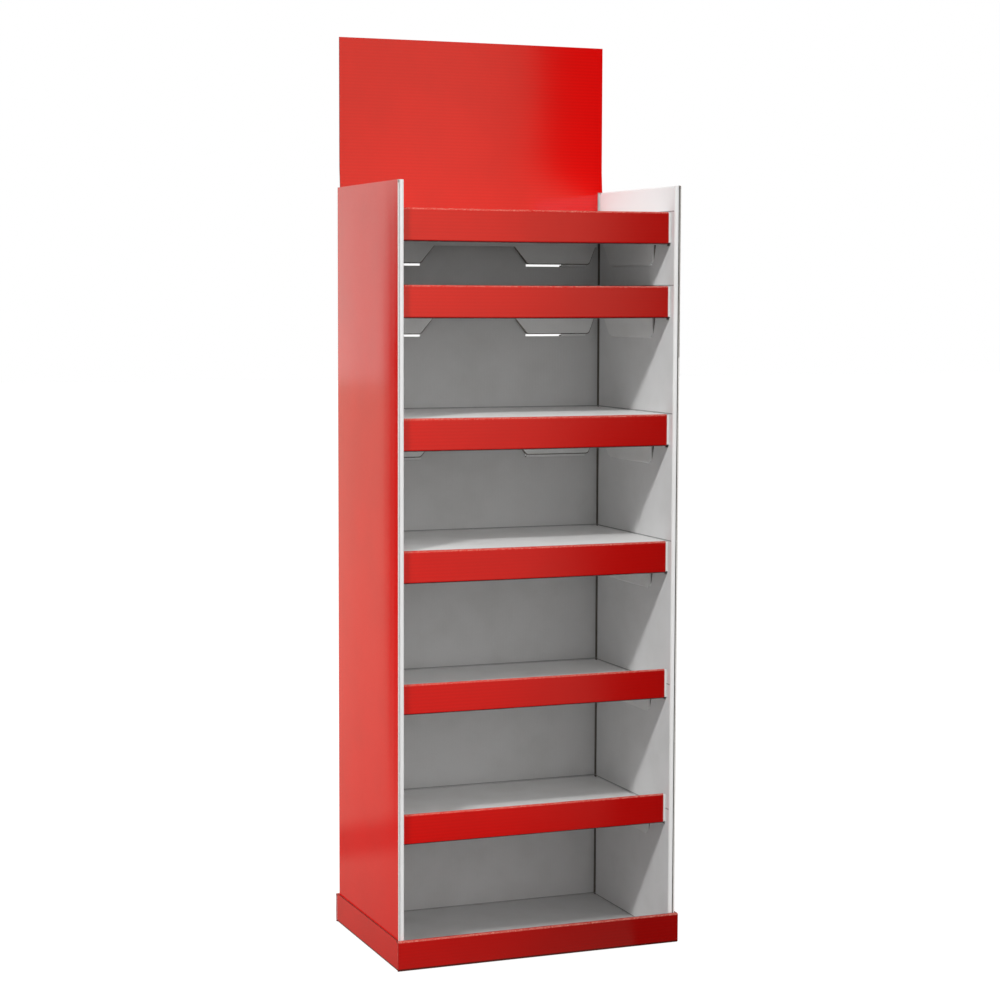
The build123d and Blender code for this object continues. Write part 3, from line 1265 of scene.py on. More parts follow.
@dataclass(frozen=True)
class Planes:
    """Faces of the stand that its sheets share, read from the frame.

    Args:
        stock: the board.
        tray_x: outer face of a side skirt.
        tray_y: outer face of the rear of the tray.
        tray_top: upper edge of the tray.
        body_x: outer face of a side wall.
        body_y: outer face of the rear panel.
        body_bottom: lower face of the bottom flaps.
        body_top: upper edge of the side walls.
        wall_x: inner face of a side wall.
        glue_x: face of a liner that is glued to the wrap.
        liner_rear: rear face of a liner.
        liner_bottom: lower edge of a liner.
    """

    stock: Stock
    tray_x: float
    tray_y: float
    tray_top: float
    body_x: float
    body_y: float
    body_bottom: float
    body_top: float
    wall_x: float
    glue_x: float
    liner_rear: float
    liner_bottom: float

    @classmethod
    def read(cls) -> "Planes":
        """Read the boxes of the CAD nodes.

        Returns:
            The faces of the right half of the stand.
        """
        board_low, board_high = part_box("bottom_board")
        _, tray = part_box("base_tray")
        wrap_low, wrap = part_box("outer_wrap")
        liner_low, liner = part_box("right_liner")
        return cls(
            stock=Stock(board_high.z - board_low.z),
            tray_x=tray.x,
            tray_y=tray.y,
            tray_top=tray.z,
            body_x=wrap.x,
            body_y=wrap.y,
            body_bottom=wrap_low.z,
            body_top=wrap.z,
            wall_x=liner_low.x,
            glue_x=liner.x,
            liner_rear=liner.y,
            liner_bottom=liner_low.z,
        )


@dataclass
class Sheet(ABC):
    """What every sheet of the stand has: its place in the frame, its finishes and the way it is put up.

    Args:
        node: CAD node that the sheet stands for.
        slot: material slot of the record; not used.
        planes: shared faces of the stand.
    """

    node: str
    slot: str
    planes: Planes

    SMOOTH_ANGLE = math.radians(30)

    @property
    def stock(self) -> Stock:
        """Board of the sheet."""
        return self.planes.stock

    @abstractmethod
    def fold(self) -> SheetMesh:
        """Fold the sheet and return its mesh."""

    def put_up(self, skins: Skins, tree: FluteTree) -> None:
        """Fold the sheet, make its objects and fix them to the frame.

        Args:
            skins: materials of its printed and its plain surface and of its cut edges.
            tree: for the wave at its open edges.
        """
        mesh = self.fold()
        data = bpy.data.meshes.new(f"{self.node}_board")
        data.from_pydata(mesh.points, [], mesh.faces)
        for material in skins:
            data.materials.append(material)
        data.polygons.foreach_set("material_index", [kind.value for kind in mesh.kinds])
        data.polygons.foreach_set("use_smooth", [True] * len(mesh.faces))
        data.attributes.new("bent", "FLOAT", "POINT").data.foreach_set("value", mesh.bent)
        layer = data.uv_layers.new(name="flat")
        corners = [value for loop in data.loops for value in mesh.flat[loop.vertex_index]]
        layer.data.foreach_set("uv", corners)
        face_outwards(data)
        data.set_sharp_from_angle(angle=self.SMOOTH_ANGLE)
        board = bpy.data.objects.new(data.name, data)
        bpy.context.scene.collection.objects.link(board)
        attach(board, BODY)
        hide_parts(self.node)
        log.info("%s: %d faces", board.name, len(data.polygons))
        if mesh.runs:
            wave = tree.lay(f"{self.node}_core", mesh.runs)
            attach(wave, BODY)
            log.info("%s: %d faces", wave.name, len(wave.data.polygons))


@dataclass
class BaseTray(Sheet):
    """Tray with rolled-over front and rear walls and single side skirts.

    Args:
        corner_tab: length of the end of a skirt that is held inside a rolled-over wall.
    """

    corner_tab: float = 60.0 * MM

    def fold(self) -> SheetMesh:
        """Fold the tray.

        Returns:
            The mesh.
        """
        p, stock = self.planes, self.stock
        roll_y = p.body_y + stock.slip
        inner_y = roll_y + stock.half
        outer_y = p.tray_y - stock.half
        top = p.tray_top - stock.half
        low = stock.thickness + stock.slip
        half_path = [(outer_y, stock.half), (outer_y, top), (inner_y, top), (inner_y, low)]
        corners = [(-y, z) for y, z in half_path[::-1]] + half_path
        path = FoldPath(corners, [stock.bend] * 6)
        floor_y = outer_y - stock.bend
        floor = path.where((-floor_y, stock.half)), path.where((floor_y, stock.half))
        ply = path.where((-inner_y, top - stock.bend))
        end = path.length
        fold_x = p.tray_x - stock.fold_span
        ply_x = p.tray_x - stock.thickness - stock.slip
        windows = []
        for side in (-1, 1):
            windows.append((floor, self._beyond(side, fold_x)))
            windows.append(((0.0, ply), self._beyond(side, ply_x)))
            windows.append(((end - ply, end), self._beyond(side, ply_x)))
        printed = [(0.0, floor[0]), (floor[1], end)]
        reach = (-p.tray_x, p.tray_x)
        tray = FoldedBoard(stock, path, Axis.X, reach, Side.RIGHT, printed, windows).mesh()
        right = self._skirt(fold_x)
        for front in (-1, 1):
            right.join(self._corner(front))
        tray.join(right)
        tray.join(right.mirror())
        return tray

    def _beyond(self, side: int, distance: float) -> Point:
        """Return the stretch of a side beyond a distance along X."""
        ends = sorted((side * distance, side * (self.planes.tray_x + self.stock.thickness)))
        return ends[0], ends[1]

    def _skirt(self, fold_x: float) -> SheetMesh:
        """Fold the right skirt up from the floor.

        Args:
            fold_x: where the fold begins.

        Returns:
            The mesh.
        """
        p, stock = self.planes, self.stock
        skirt_x = p.tray_x - stock.half
        corners = [(fold_x, stock.half), (skirt_x, stock.half), (skirt_x, p.tray_top)]
        path = FoldPath(corners, [stock.bend])
        reach = (-p.body_y, p.body_y)
        whole = [(0.0, path.length)]
        return FoldedBoard(stock, path, Axis.Y, reach, Side.RIGHT, whole, flutes_cross=True).mesh()

    def _corner(self, front: int) -> SheetMesh:
        """Fold one corner tab of the right skirt in behind a rolled-over wall.

        Args:
            front: -1 for the front wall, 1 for the rear.

        Returns:
            The mesh.
        """
        p, stock = self.planes, self.stock
        skirt_x = p.tray_x - stock.half
        tab_y = p.tray_y - stock.thickness - stock.slip - stock.half
        tab_x = skirt_x - self.corner_tab
        corners = [(skirt_x, front * p.body_y), (skirt_x, front * tab_y), (tab_x, front * tab_y)]
        path = FoldPath(corners, [stock.bend])
        reach = (stock.fold_span, p.tray_top - stock.thickness - stock.slip)
        return FoldedBoard(stock, path, Axis.Z, reach, Side(-front), [(0.0, path.length / 4)]).mesh()


@dataclass
class BottomBoard(Sheet):
    """Loose board on the floor of the stand."""

    def fold(self) -> SheetMesh:
        """Cut the board.

        Returns:
            The mesh, open at its front and rear edges.
        """
        low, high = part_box(self.node)
        middle = (low.z + high.z) / 2
        path = FoldPath([(low.y, middle), (high.y, middle)], [])
        rims = [Hollow(Rim.START), Hollow(Rim.END)]
        return FoldedBoard(self.stock, path, Axis.X, (low.x, high.x), hollows=rims).mesh()


@dataclass
class OuterWrap(Sheet):
    """Back and outer sides, with flaps turned in at the bottom and slots for the rear hooks.

    Args:
        bottom_flap: length of a flap.
        bulge: of a side, at most.
        fullness: power by which the bulge is full between its base and its top.
        front_round: share of the depth over which the bulge comes up at the front.
        rear_round: the same at the rear.
        open_edge: upper part of the right front edge, which lies open.
        slots: in the rear panel, as ranges of X and Z.
    """

    bottom_flap: float = 90.0 * MM
    bulge: float = 3.2 * MM
    fullness: float = 0.45
    front_round: float = 0.24
    rear_round: float = 0.4
    open_edge: float = 340.0 * MM
    slots: list[Area] = field(default_factory=list)

    def fold(self) -> SheetMesh:
        """Fold the wrap.

        Returns:
            The mesh, with its sides a little bulged between the base and the top.
        """
        p, stock = self.planes, self.stock
        side_x, rear_y = p.body_x - stock.half, p.body_y - stock.half
        corners = [(-side_x, -p.body_y), (-side_x, rear_y), (side_x, rear_y), (side_x, -p.body_y)]
        path = FoldPath(corners, [stock.bend] * 2)
        root = p.body_bottom + stock.fold_span + stock.thickness
        windows = []
        for (low, high), slot_z in self.slots:
            windows.append(((path.where((low, rear_y)), path.where((high, rear_y))), slot_z))
        open_edge = (p.body_top - self.open_edge, p.body_top)
        rims = [Hollow(Rim.HIGH, wavy=True), Hollow(Rim.END, stretch=open_edge)]
        whole = [(0.0, path.length)]
        heights = (root, p.body_top)
        wrap = FoldedBoard(stock, path, Axis.Z, heights, Side.LEFT, whole, windows, rims).mesh()
        reach = (-p.body_y + stock.relief, p.body_y - self.bottom_flap - stock.relief)
        side = self._flap(Axis.Y, side_x, root, reach)
        wrap.join(side)
        wrap.join(side.mirror())
        rear_x = p.body_x - stock.fold_span - stock.relief
        wrap.join(self._flap(Axis.X, rear_y, root, (-rear_x, rear_x)))
        wrap.settle(self._bulged)
        return wrap

    def _flap(self, axis: Axis, edge: float, root: float, reach: Point) -> SheetMesh:
        """Fold one bottom flap in.

        Args:
            axis: direction of its fold.
            edge: middle of the panel that it hangs on.
            root: height at which it begins.
            reach: its ends along the fold.

        Returns:
            The mesh.
        """
        stock = self.stock
        flap_z = self.planes.body_bottom + stock.half
        tip = edge + stock.half - self.bottom_flap
        path = FoldPath([(edge, root), (edge, flap_z), (tip, flap_z)], [stock.bend])
        return FoldedBoard(stock, path, axis, reach, Side.LEFT, [(0.0, path.length / 3)]).mesh()

    def _bulged(self, points: np.ndarray) -> np.ndarray:
        """Bulge the sides between their four edges, most sharply near the front.

        Args:
            points: of the wrap.

        Returns:
            The points, moved along X.
        """
        p = self.planes
        x, y, z = points.T
        up = np.clip((z - p.tray_top) / (p.body_top - p.tray_top), 0, 1)
        deep = np.clip((y + p.body_y) / (2 * p.body_y), 0, 1)
        on_side = np.clip((np.abs(x) - p.wall_x) / (p.body_x - p.stock.thickness - p.wall_x), 0, 1)
        from_front = 1 - np.clip(1 - deep / self.front_round, 0, 1) ** 2
        from_rear = 1 - np.clip(1 - (1 - deep) / self.rear_round, 0, 1) ** 2
        swell = self.bulge * np.sin(np.pi * up) ** self.fullness * from_front * from_rear * on_side
        moved = points.copy()
        moved[:, 0] += np.sign(x) * swell
        return moved


@dataclass(frozen=True)
class ShelfForm:
    """Sizes that all shelves share.

    Args:
        lip_end_gap: lip short of the wall at each end.
        tab_back: white end tab behind the front of the lip.
        hem_gap: between the two plies of a lip.
        hem_bend: radius of each of the two bends of a hem, as a share of its pitch.
        deep_lip: height of a lip that stands up in front of its floor.
        deep_rise: floor of such a shelf above the bottom edge of its lip.
        tab_inset: end tab inside the height of the lip.
        slit_runout: slit that stays open below the end tab.
        notch: depth and height of the notch at the lower end of that slit.
        tongue_drop: height of a tongue.
        tongue_slant: of its slanted end.
        outer_slant: of the end of a rear tongue towards the wall.
        tongue_corner: radius of its lower corners.
        crush: width of the crushed edge of a rear tongue.
        rear_tongue: start and end of the right rear tongue along X.
        side_tongue: start and end of a side tongue behind the front of the lip.
        flange_tail: side flange behind its tongue.
        rear_hook: length of a rear hook.
        hook_inset: hook short of the end of the tongue's lower edge.
        slot: height of the slot under a tongue.
        wedge: width and height of the tapered slit at the front of a side tongue.
        print_turn: print that is turned in behind the lip.
        bow: of the lip, at its middle.
        sag: of the front of the floor, as a share of the bow.
    """

    lip_end_gap: float = 5.0 * MM
    tab_back: float = 0.3 * MM
    hem_gap: float = 1.2 * MM
    hem_bend: float = 0.49
    deep_lip: float = 60.0 * MM
    deep_rise: float = 28.5 * MM
    tab_inset: float = 5.0 * MM
    slit_runout: float = 8.0 * MM
    notch: Point = (14.0 * MM, 6.0 * MM)
    tongue_drop: float = 37.0 * MM
    tongue_slant: float = 30.0 * MM
    outer_slant: float = 14.0 * MM
    tongue_corner: float = 8.0 * MM
    crush: float = 2.0 * MM
    rear_tongue: Point = (88.0 * MM, 276.0 * MM)
    side_tongue: Point = (78.0 * MM, 319.0 * MM)
    flange_tail: float = 3.0 * MM
    rear_hook: float = 56.0 * MM
    hook_inset: float = 9.0 * MM
    slot: float = 4.5 * MM
    wedge: Point = (8.0 * MM, 31.0 * MM)
    print_turn: float = 14.0 * MM
    bow: float = 1.6 * MM
    sag: float = 0.5


@dataclass
class Shelf(Sheet):
    """Shelf of one sheet: floor, hemmed lip, flanges, and tongues that hook into the walls.

    Args:
        form: sizes that it shares with the others.
        lean: share of the bow, and its side.
        is_snug: whether its rear hooks fill their slots.

    Attributes:
        lip_bottom: lower edge of the lip.
        lip_top: upper edge of the lip.
        lip_x: right end of the lip.
        lip_y: front of the lip.
        is_deep: whether the lip stands up in front of the floor.
        floor_top: upper face of the floor.
        tongue_tip: lower edge of the tongues.
        hem_pitch: between the middles of the two plies of the lip.
        hem_y: middle of the inner ply.
        flange_x: middle of the right flange.
        flange_y: middle of the rear flange.
        hook_x: end of a side hook.
        hook_y: end of a rear hook.
    """

    form: ShelfForm = ShelfForm()
    lean: float = 1.0
    is_snug: bool = False

    lip_bottom: float = field(init=False)
    lip_top: float = field(init=False)
    lip_x: float = field(init=False)
    lip_y: float = field(init=False)
    is_deep: bool = field(init=False)
    floor_top: float = field(init=False)
    tongue_tip: float = field(init=False)
    hem_pitch: float = field(init=False)
    hem_y: float = field(init=False)
    flange_x: float = field(init=False)
    flange_y: float = field(init=False)
    hook_x: float = field(init=False)
    hook_y: float = field(init=False)

    MEAN_LEAN = -0.9
    LEAN_SWING = 0.35
    LEAN_STEP = 2.1

    @classmethod
    def numbered(cls, number: int, planes: Planes) -> "Shelf":
        """Choose the shelf of a number.

        Args:
            number: counted from the top.
            planes: shared faces of the stand.

        Returns:
            The shelf, with a bow of its own.
        """
        lean = cls.LEAN_SWING * math.sin(cls.LEAN_STEP * number) + cls.MEAN_LEAN
        is_snug = number > LOOSE_SHELVES
        return cls(f"shelf_{number}", "shelf_board", planes, lean=lean, is_snug=is_snug)

    def __post_init__(self) -> None:
        """Read the heights and depths of the shelf from the frame."""
        stock, form = self.stock, self.form
        low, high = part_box(self.node)
        _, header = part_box("header_panel")
        self.lip_bottom = low.z + form.slot + form.tongue_drop
        self.lip_top = high.z
        self.tongue_tip = self.lip_bottom - form.tongue_drop
        lip_height = self.lip_top - self.lip_bottom
        self.is_deep = math.isclose(lip_height, form.deep_lip, abs_tol=stock.half)
        self.floor_top = self.lip_bottom + (form.deep_rise if self.is_deep else lip_height)
        self.lip_y = low.y
        self.lip_x = self.planes.wall_x - form.lip_end_gap
        self.hem_pitch = stock.thickness + form.hem_gap
        self.hem_y = self.lip_y + stock.half + self.hem_pitch
        self.flange_x = self.planes.wall_x - stock.slip - stock.half
        self.flange_y = header.y - stock.thickness - stock.slip - stock.half
        self.hook_x, self.hook_y = high.x, high.y

    def rear_slots(self) -> list[Area]:
        """Cut the slots of the shelf in the rear panel.

        Returns:
            The left and the right slot, as ranges of X and Z.
        """
        low = self.form.rear_tongue[0] + self.form.tongue_slant
        high = self._rear_hook()[1] + self.stock.slip
        heights = (self.tongue_tip - self.form.slot, self.tongue_tip)
        return [((-high, -low), heights), ((low, high), heights)]

    def _rear_hook(self) -> Point:
        """Place the right rear hook.

        Returns:
            Its ends along X.
        """
        start, end = self.form.rear_tongue
        last = end - self.form.outer_slant - self.form.hook_inset
        if self.is_snug:
            return start + self.form.tongue_slant + self.stock.slip, last
        return last - self.form.rear_hook, last

    def _side_hook(self) -> Point:
        """Return the ends of a side hook along Y."""
        start, end = self.side_tongue_ends()
        return start + self.form.hook_inset, end - self.form.tongue_slant - self.form.hook_inset

    def liner_cuts(self) -> list[Area]:
        """Cut the openings of the shelf in a liner.

        Returns:
            Tab slit, slot, notch and tapered slit, as ranges of Y and Z.
        """
        form, stock = self.form, self.stock
        slit_half = stock.half + stock.slip
        slit_y = (self.hem_y - slit_half, self.hem_y + slit_half)
        slit_low = self.lip_bottom + form.tab_inset - form.slit_runout
        slit_z = (slit_low, self.lip_top - form.tab_inset + stock.slip)
        hook = self._side_hook()
        slot_y = (hook[0] - stock.slip, hook[1] + stock.slip)
        slot_z = (self.tongue_tip - form.slot, self.tongue_tip)
        notch_y = (slit_y[0], slit_y[0] + form.notch[0])
        notch_low = self.lip_bottom - form.notch[1] / 2
        notch_z = (notch_low, notch_low + form.notch[1])
        start, _ = self.side_tongue_ends()
        wedge_y = (start - form.wedge[0], start)
        wedge_z = (self.lip_bottom - form.wedge[1], self.lip_bottom)
        return [(slit_y, slit_z), (slot_y, slot_z), (notch_y, notch_z), (wedge_y, wedge_z)]

    def side_tongue_ends(self) -> Point:
        """Return the front and the rear of a side tongue along Y."""
        return self.lip_y + self.form.side_tongue[0], self.lip_y + self.form.side_tongue[1]

    def lip_path(self) -> tuple[FoldPath, Point]:
        """Lay out the folds from the rear flange to the end of the hem.

        Returns:
            The path, and the stretch of it that is printed.
        """
        stock, form = self.stock, self.form
        outer_y = self.lip_y + stock.half
        floor_z = self.floor_top - stock.half
        hem_z = self.lip_bottom + stock.half
        hem_bend = form.hem_bend * self.hem_pitch
        corners = [(self.flange_y, self.lip_bottom), (self.flange_y, floor_z)]
        radii = [stock.bend]
        if self.is_deep:
            lip_z = self.lip_top - stock.half
            corners += [(self.hem_y, floor_z), (self.hem_y, lip_z), (outer_y, lip_z)]
            radii += [stock.bend, hem_bend, hem_bend]
            first = (self.hem_y, lip_z - stock.bend - stock.thickness)
        else:
            corners += [(outer_y, floor_z)]
            radii += [stock.bend]
            first = (outer_y + stock.bend + stock.thickness, floor_z)
        ply_top = floor_z - stock.half - stock.slip
        corners += [(outer_y, hem_z), (self.hem_y, hem_z), (self.hem_y, ply_top)]
        radii += [hem_bend, hem_bend]
        path = FoldPath(corners, radii)
        ply_end = path.length - (ply_top - hem_z) + form.print_turn
        return path, (path.where(first), ply_end)

    def fold(self) -> SheetMesh:
        """Fold the shelf.

        Returns:
            The mesh, with its lip a little bowed.
        """
        stock = self.stock
        path, printed = self.lip_path()
        rims = [Hollow(rim, wavy=True, stretch=printed) for rim in (Rim.LOW, Rim.HIGH)]
        reach = (-self.lip_x, self.lip_x)
        sheet = FoldedBoard(stock, path, Axis.X, reach, Side.RIGHT, [printed], hollows=rims).mesh()
        right = self._side_flange()
        right.join(self._side_tongue())
        right.join(self._rear_tongue())
        for tab in self._end_tabs():
            right.join(tab)
        sheet.join(right)
        sheet.join(right.mirror())
        sheet.settle(self._bowed)
        return sheet

    def _side_flange(self) -> SheetMesh:
        """Fold the right flange down from the floor.

        Returns:
            The mesh.
        """
        stock, form = self.stock, self.form
        floor_z = self.floor_top - stock.half
        corners = [(self.lip_x, floor_z), (self.flange_x, floor_z), (self.flange_x, self.lip_bottom)]
        lip_depth = self.hem_pitch + stock.thickness
        front = self.lip_y + lip_depth + stock.fold_span + stock.relief
        rear = self.side_tongue_ends()[1] + form.flange_tail
        path = FoldPath(corners, [stock.bend])
        return FoldedBoard(stock, path, Axis.Y, (front, rear), flutes_cross=True).mesh()

    def _tongue_outline(self, ends: Point, slants: Point, inset: float) -> list[Point]:
        """Draw a tongue that hangs from a flange.

        Args:
            ends: of the tongue at the flange.
            slants: of its two ends.
            inset: by which it is smaller all round.

        Returns:
            The outline.
        """
        start, end, tip = ends[0] + inset, ends[1] - inset, self.tongue_tip + inset
        corners = [(start, self.lip_bottom), (end, self.lip_bottom)]
        corners += [(end - slants[1], tip), (start + slants[0], tip)]
        corner = self.form.tongue_corner
        return rounded(corners, [0.0, 0.0, corner, corner])

    def _hook(self, axis: Axis, flange: float, reach: float, ends: Point) -> SheetMesh:
        """Fold a hook out from the lower edge of a tongue.

        Args:
            axis: direction of its fold.
            flange: middle of the tongue.
            reach: end of the hook.
            ends: of the hook along its fold.

        Returns:
            The mesh.
        """
        hook_z = self.tongue_tip - self.form.slot + self.stock.half
        corners = [(flange, self.tongue_tip), (flange, hook_z), (reach, hook_z)]
        path = FoldPath(corners, [self.stock.bend])
        return FoldedBoard(self.stock, path, axis, ends).mesh()

    def _rear_tongue(self) -> SheetMesh:
        """Make the right rear tongue, with its crushed edge and its hook at the outer end.

        Returns:
            The mesh.
        """
        form = self.form
        slants = (form.tongue_slant, form.outer_slant)
        near, far = (self._tongue_outline(form.rear_tongue, slants, inset) for inset in (form.crush, 0.0))
        part = plate(Axis.Y, (near, far), self.flange_y, self.stock.thickness)
        part.join(self._hook(Axis.X, self.flange_y, self.hook_y, self._rear_hook()))
        return part

    def _side_tongue(self) -> SheetMesh:
        """Make the right side tongue, with its hook along the lower edge.

        Returns:
            The mesh.
        """
        outline = self._tongue_outline(self.side_tongue_ends(), (0.0, self.form.tongue_slant), 0.0)
        part = plate(Axis.X, (outline, outline), self.flange_x, self.stock.thickness, Face.PLAIN)
        part.join(self._hook(Axis.Y, self.flange_x, self.hook_x, self._side_hook()).bleach())
        return part

    def _end_tabs(self) -> list[SheetMesh]:
        """Cut the tabs on both plies at the right end of the lip.

        Returns:
            The meshes.
        """
        form, stock = self.form, self.stock
        lower, upper = self.lip_bottom + form.tab_inset, self.lip_top - form.tab_inset
        heights = [(lower, upper)]
        if self.is_deep:
            under = self.floor_top - stock.thickness - stock.slip
            heights = [(lower, under), (self.floor_top + stock.fold, upper)]
        x = (self.lip_x, self.hook_x)
        outlines = [[(x[0], low), (x[1], low), (x[1], high), (x[0], high)] for low, high in heights]
        tabs = [plate(Axis.Y, (outline, outline), self.hem_y, stock.thickness) for outline in outlines]
        end_x = self.planes.wall_x - stock.slip
        lower, upper = self.lip_bottom + stock.thickness, self.lip_top - stock.half
        front = [(x[0], lower), (end_x, lower), (end_x, upper), (x[0], upper)]
        front_y = self.lip_y + form.tab_back + stock.half
        return [*tabs, plate(Axis.Y, (front, front), front_y, stock.thickness, Face.PLAIN)]

    def _bowed(self, points: np.ndarray) -> np.ndarray:
        """Bow the lip and let the front of the floor sag by a small amount.

        Args:
            points: of the shelf.

        Returns:
            The points, moved.
        """
        x, y, _ = points.T
        middle = np.cos(np.pi / 2 * np.clip(x / self.lip_x, -1, 1))
        front = np.clip((self.flange_y - y) / (self.flange_y - self.lip_y), 0, 1) ** 2
        moved = points.copy()
        moved[:, 1] -= self.form.bow * self.lean * middle * front
        moved[:, 2] -= self.form.sag * self.form.bow * middle * front
        return moved


@dataclass
class Liner(Sheet):
    """Inner panel of a side wall, with its front spine, glue flap, rear flange and top flap.

    Args:
        glue_flap: length of the flap that is stuck inside the outer panel.
        cuts: openings for the shelves, as ranges of Y and Z.
        wedges: those of them that are tapered.
        is_left: whether it is the left one.
    """

    glue_flap: float = 60.0 * MM
    cuts: list[Area] = field(default_factory=list)
    wedges: list[Area] = field(default_factory=list)
    is_left: bool = False

    def fold(self) -> SheetMesh:
        """Fold the liner of the right wall.

        Returns:
            The mesh, or its mirror image on the left.
        """
        p, stock = self.planes, self.stock
        panel_x = p.wall_x + stock.half
        glue_x = p.glue_x - stock.half
        spine_y = -p.body_y + stock.half
        rear_y = p.liner_rear - stock.half
        flange_x = p.glue_x - stock.fold
        corners = [
            (glue_x, -p.body_y + self.glue_flap),
            (glue_x, spine_y),
            (panel_x, spine_y),
            (panel_x, rear_y),
            (flange_x, rear_y),
        ]
        path = FoldPath(corners, [stock.bend] * 3)
        root_z = p.body_top - stock.fold_span
        flap = (spine_y + stock.bend + stock.relief, rear_y - stock.bend - stock.relief)
        cleared = (flap[0] - stock.relief, flap[1] + stock.relief)
        windows = [(self._along(path, panel_x, cleared), (root_z, p.body_top + stock.half))]
        windows += [(self._along(path, panel_x, y), z) for y, z in self.cuts]
        nudges = []
        for (y_low, y_high), (z_low, _) in self.wedges:
            nudges.append(((path.where((panel_x, y_low)), z_low), (y_high - y_low, 0.0)))
        spine = (0.0, path.where((panel_x, cleared[0])))
        rims = [Hollow(Rim.HIGH, wavy=True, stretch=spine)]
        reach = (p.liner_bottom, p.body_top)
        outside = [(0.0, path.where((panel_x, spine_y + stock.bend)))]
        board = FoldedBoard(stock, path, Axis.Z, reach, Side.LEFT, outside, windows, rims, nudges)
        liner = board.mesh()
        top_z = p.body_top - stock.half
        top = FoldPath([(panel_x, root_z), (panel_x, top_z), (p.glue_x, top_z)], [stock.bend])
        liner.join(FoldedBoard(stock, top, Axis.Y, flap, flutes_cross=True).mesh())
        return liner.mirror() if self.is_left else liner

    def _along(self, path: FoldPath, panel_x: float, depth: Point) -> Point:
        """Return the stretch of the path between two depths on the inner panel."""
        return path.where((panel_x, depth[0])), path.where((panel_x, depth[1]))


@dataclass
class HeaderPanel(Sheet):
    """Tall board on top, on two shoulders, with a tongue behind the top shelf.

    Args:
        tongue_gap: between the tongue and a liner.
        bow: of its side edges.
        held: height above the walls over which the bow comes up.
    """

    tongue_gap: float = 2.6 * MM
    bow: float = 3.6 * MM
    held: float = 45.0 * MM

    def fold(self) -> SheetMesh:
        """Cut the header.

        Returns:
            The mesh, a little bowed above the walls.
        """
        p, stock = self.planes, self.stock
        low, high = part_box(self.node)
        middle = (low.y + high.y) / 2
        path = FoldPath([(middle, low.z), (middle, high.z)], [])
        shoulder = path.where((middle, p.body_top))
        tongue_x = p.wall_x - self.tongue_gap
        windows = [((0.0, shoulder), (low.x, -tongue_x)), ((0.0, shoulder), (tongue_x, high.x))]
        above = (shoulder, path.length)
        rims = [Hollow(rim, wavy=True, stretch=above) for rim in (Rim.LOW, Rim.HIGH)]
        rims.append(Hollow(Rim.END))
        whole = [(0.0, path.length)]
        reach = (low.x, high.x)
        header = FoldedBoard(stock, path, Axis.X, reach, Side.LEFT, whole, windows, rims).mesh()
        header.settle(self._bowed)
        return header

    def _bowed(self, points: np.ndarray) -> np.ndarray:
        """Curl the header back a little at its side edges, but not where the walls hold it.

        Args:
            points: of the header.

        Returns:
            The points, moved along Y.
        """
        x, _, z = points.T
        _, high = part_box(self.node)
        up = np.clip((z - self.planes.body_top) / self.held, 0, 1)
        moved = points.copy()
        moved[:, 1] += self.bow * up * up * (3 - 2 * up) * (x / high.x) ** 2
        return moved


@dataclass(frozen=True)
class Lamp:
    """Rectangular lamp of the studio.

    Args:
        name: of the lamp.
        place: of its middle.
        aim: point that it shines at.
        size: width and height.
        power: in watts.
    """

    name: str
    place: Place
    aim: Place
    size: Point
    power: float

    def build(self) -> None:
        """Hang the lamp."""
        data = bpy.data.lights.new(self.name, "AREA")
        data.shape = "RECTANGLE"
        data.size, data.size_y = self.size
        data.energy = self.power
        lamp = bpy.data.objects.new(self.name, data)
        bpy.context.scene.collection.objects.link(lamp)
        place = Vector(self.place)
        beam = Vector(self.aim) - place
        turn = beam.to_track_quat("-Z", "Y").to_matrix().to_4x4()
        lamp.matrix_world = Matrix.Translation(place) @ turn
        lamp.visible_camera = False
        log.info("%s: %.0f W", self.name, self.power)


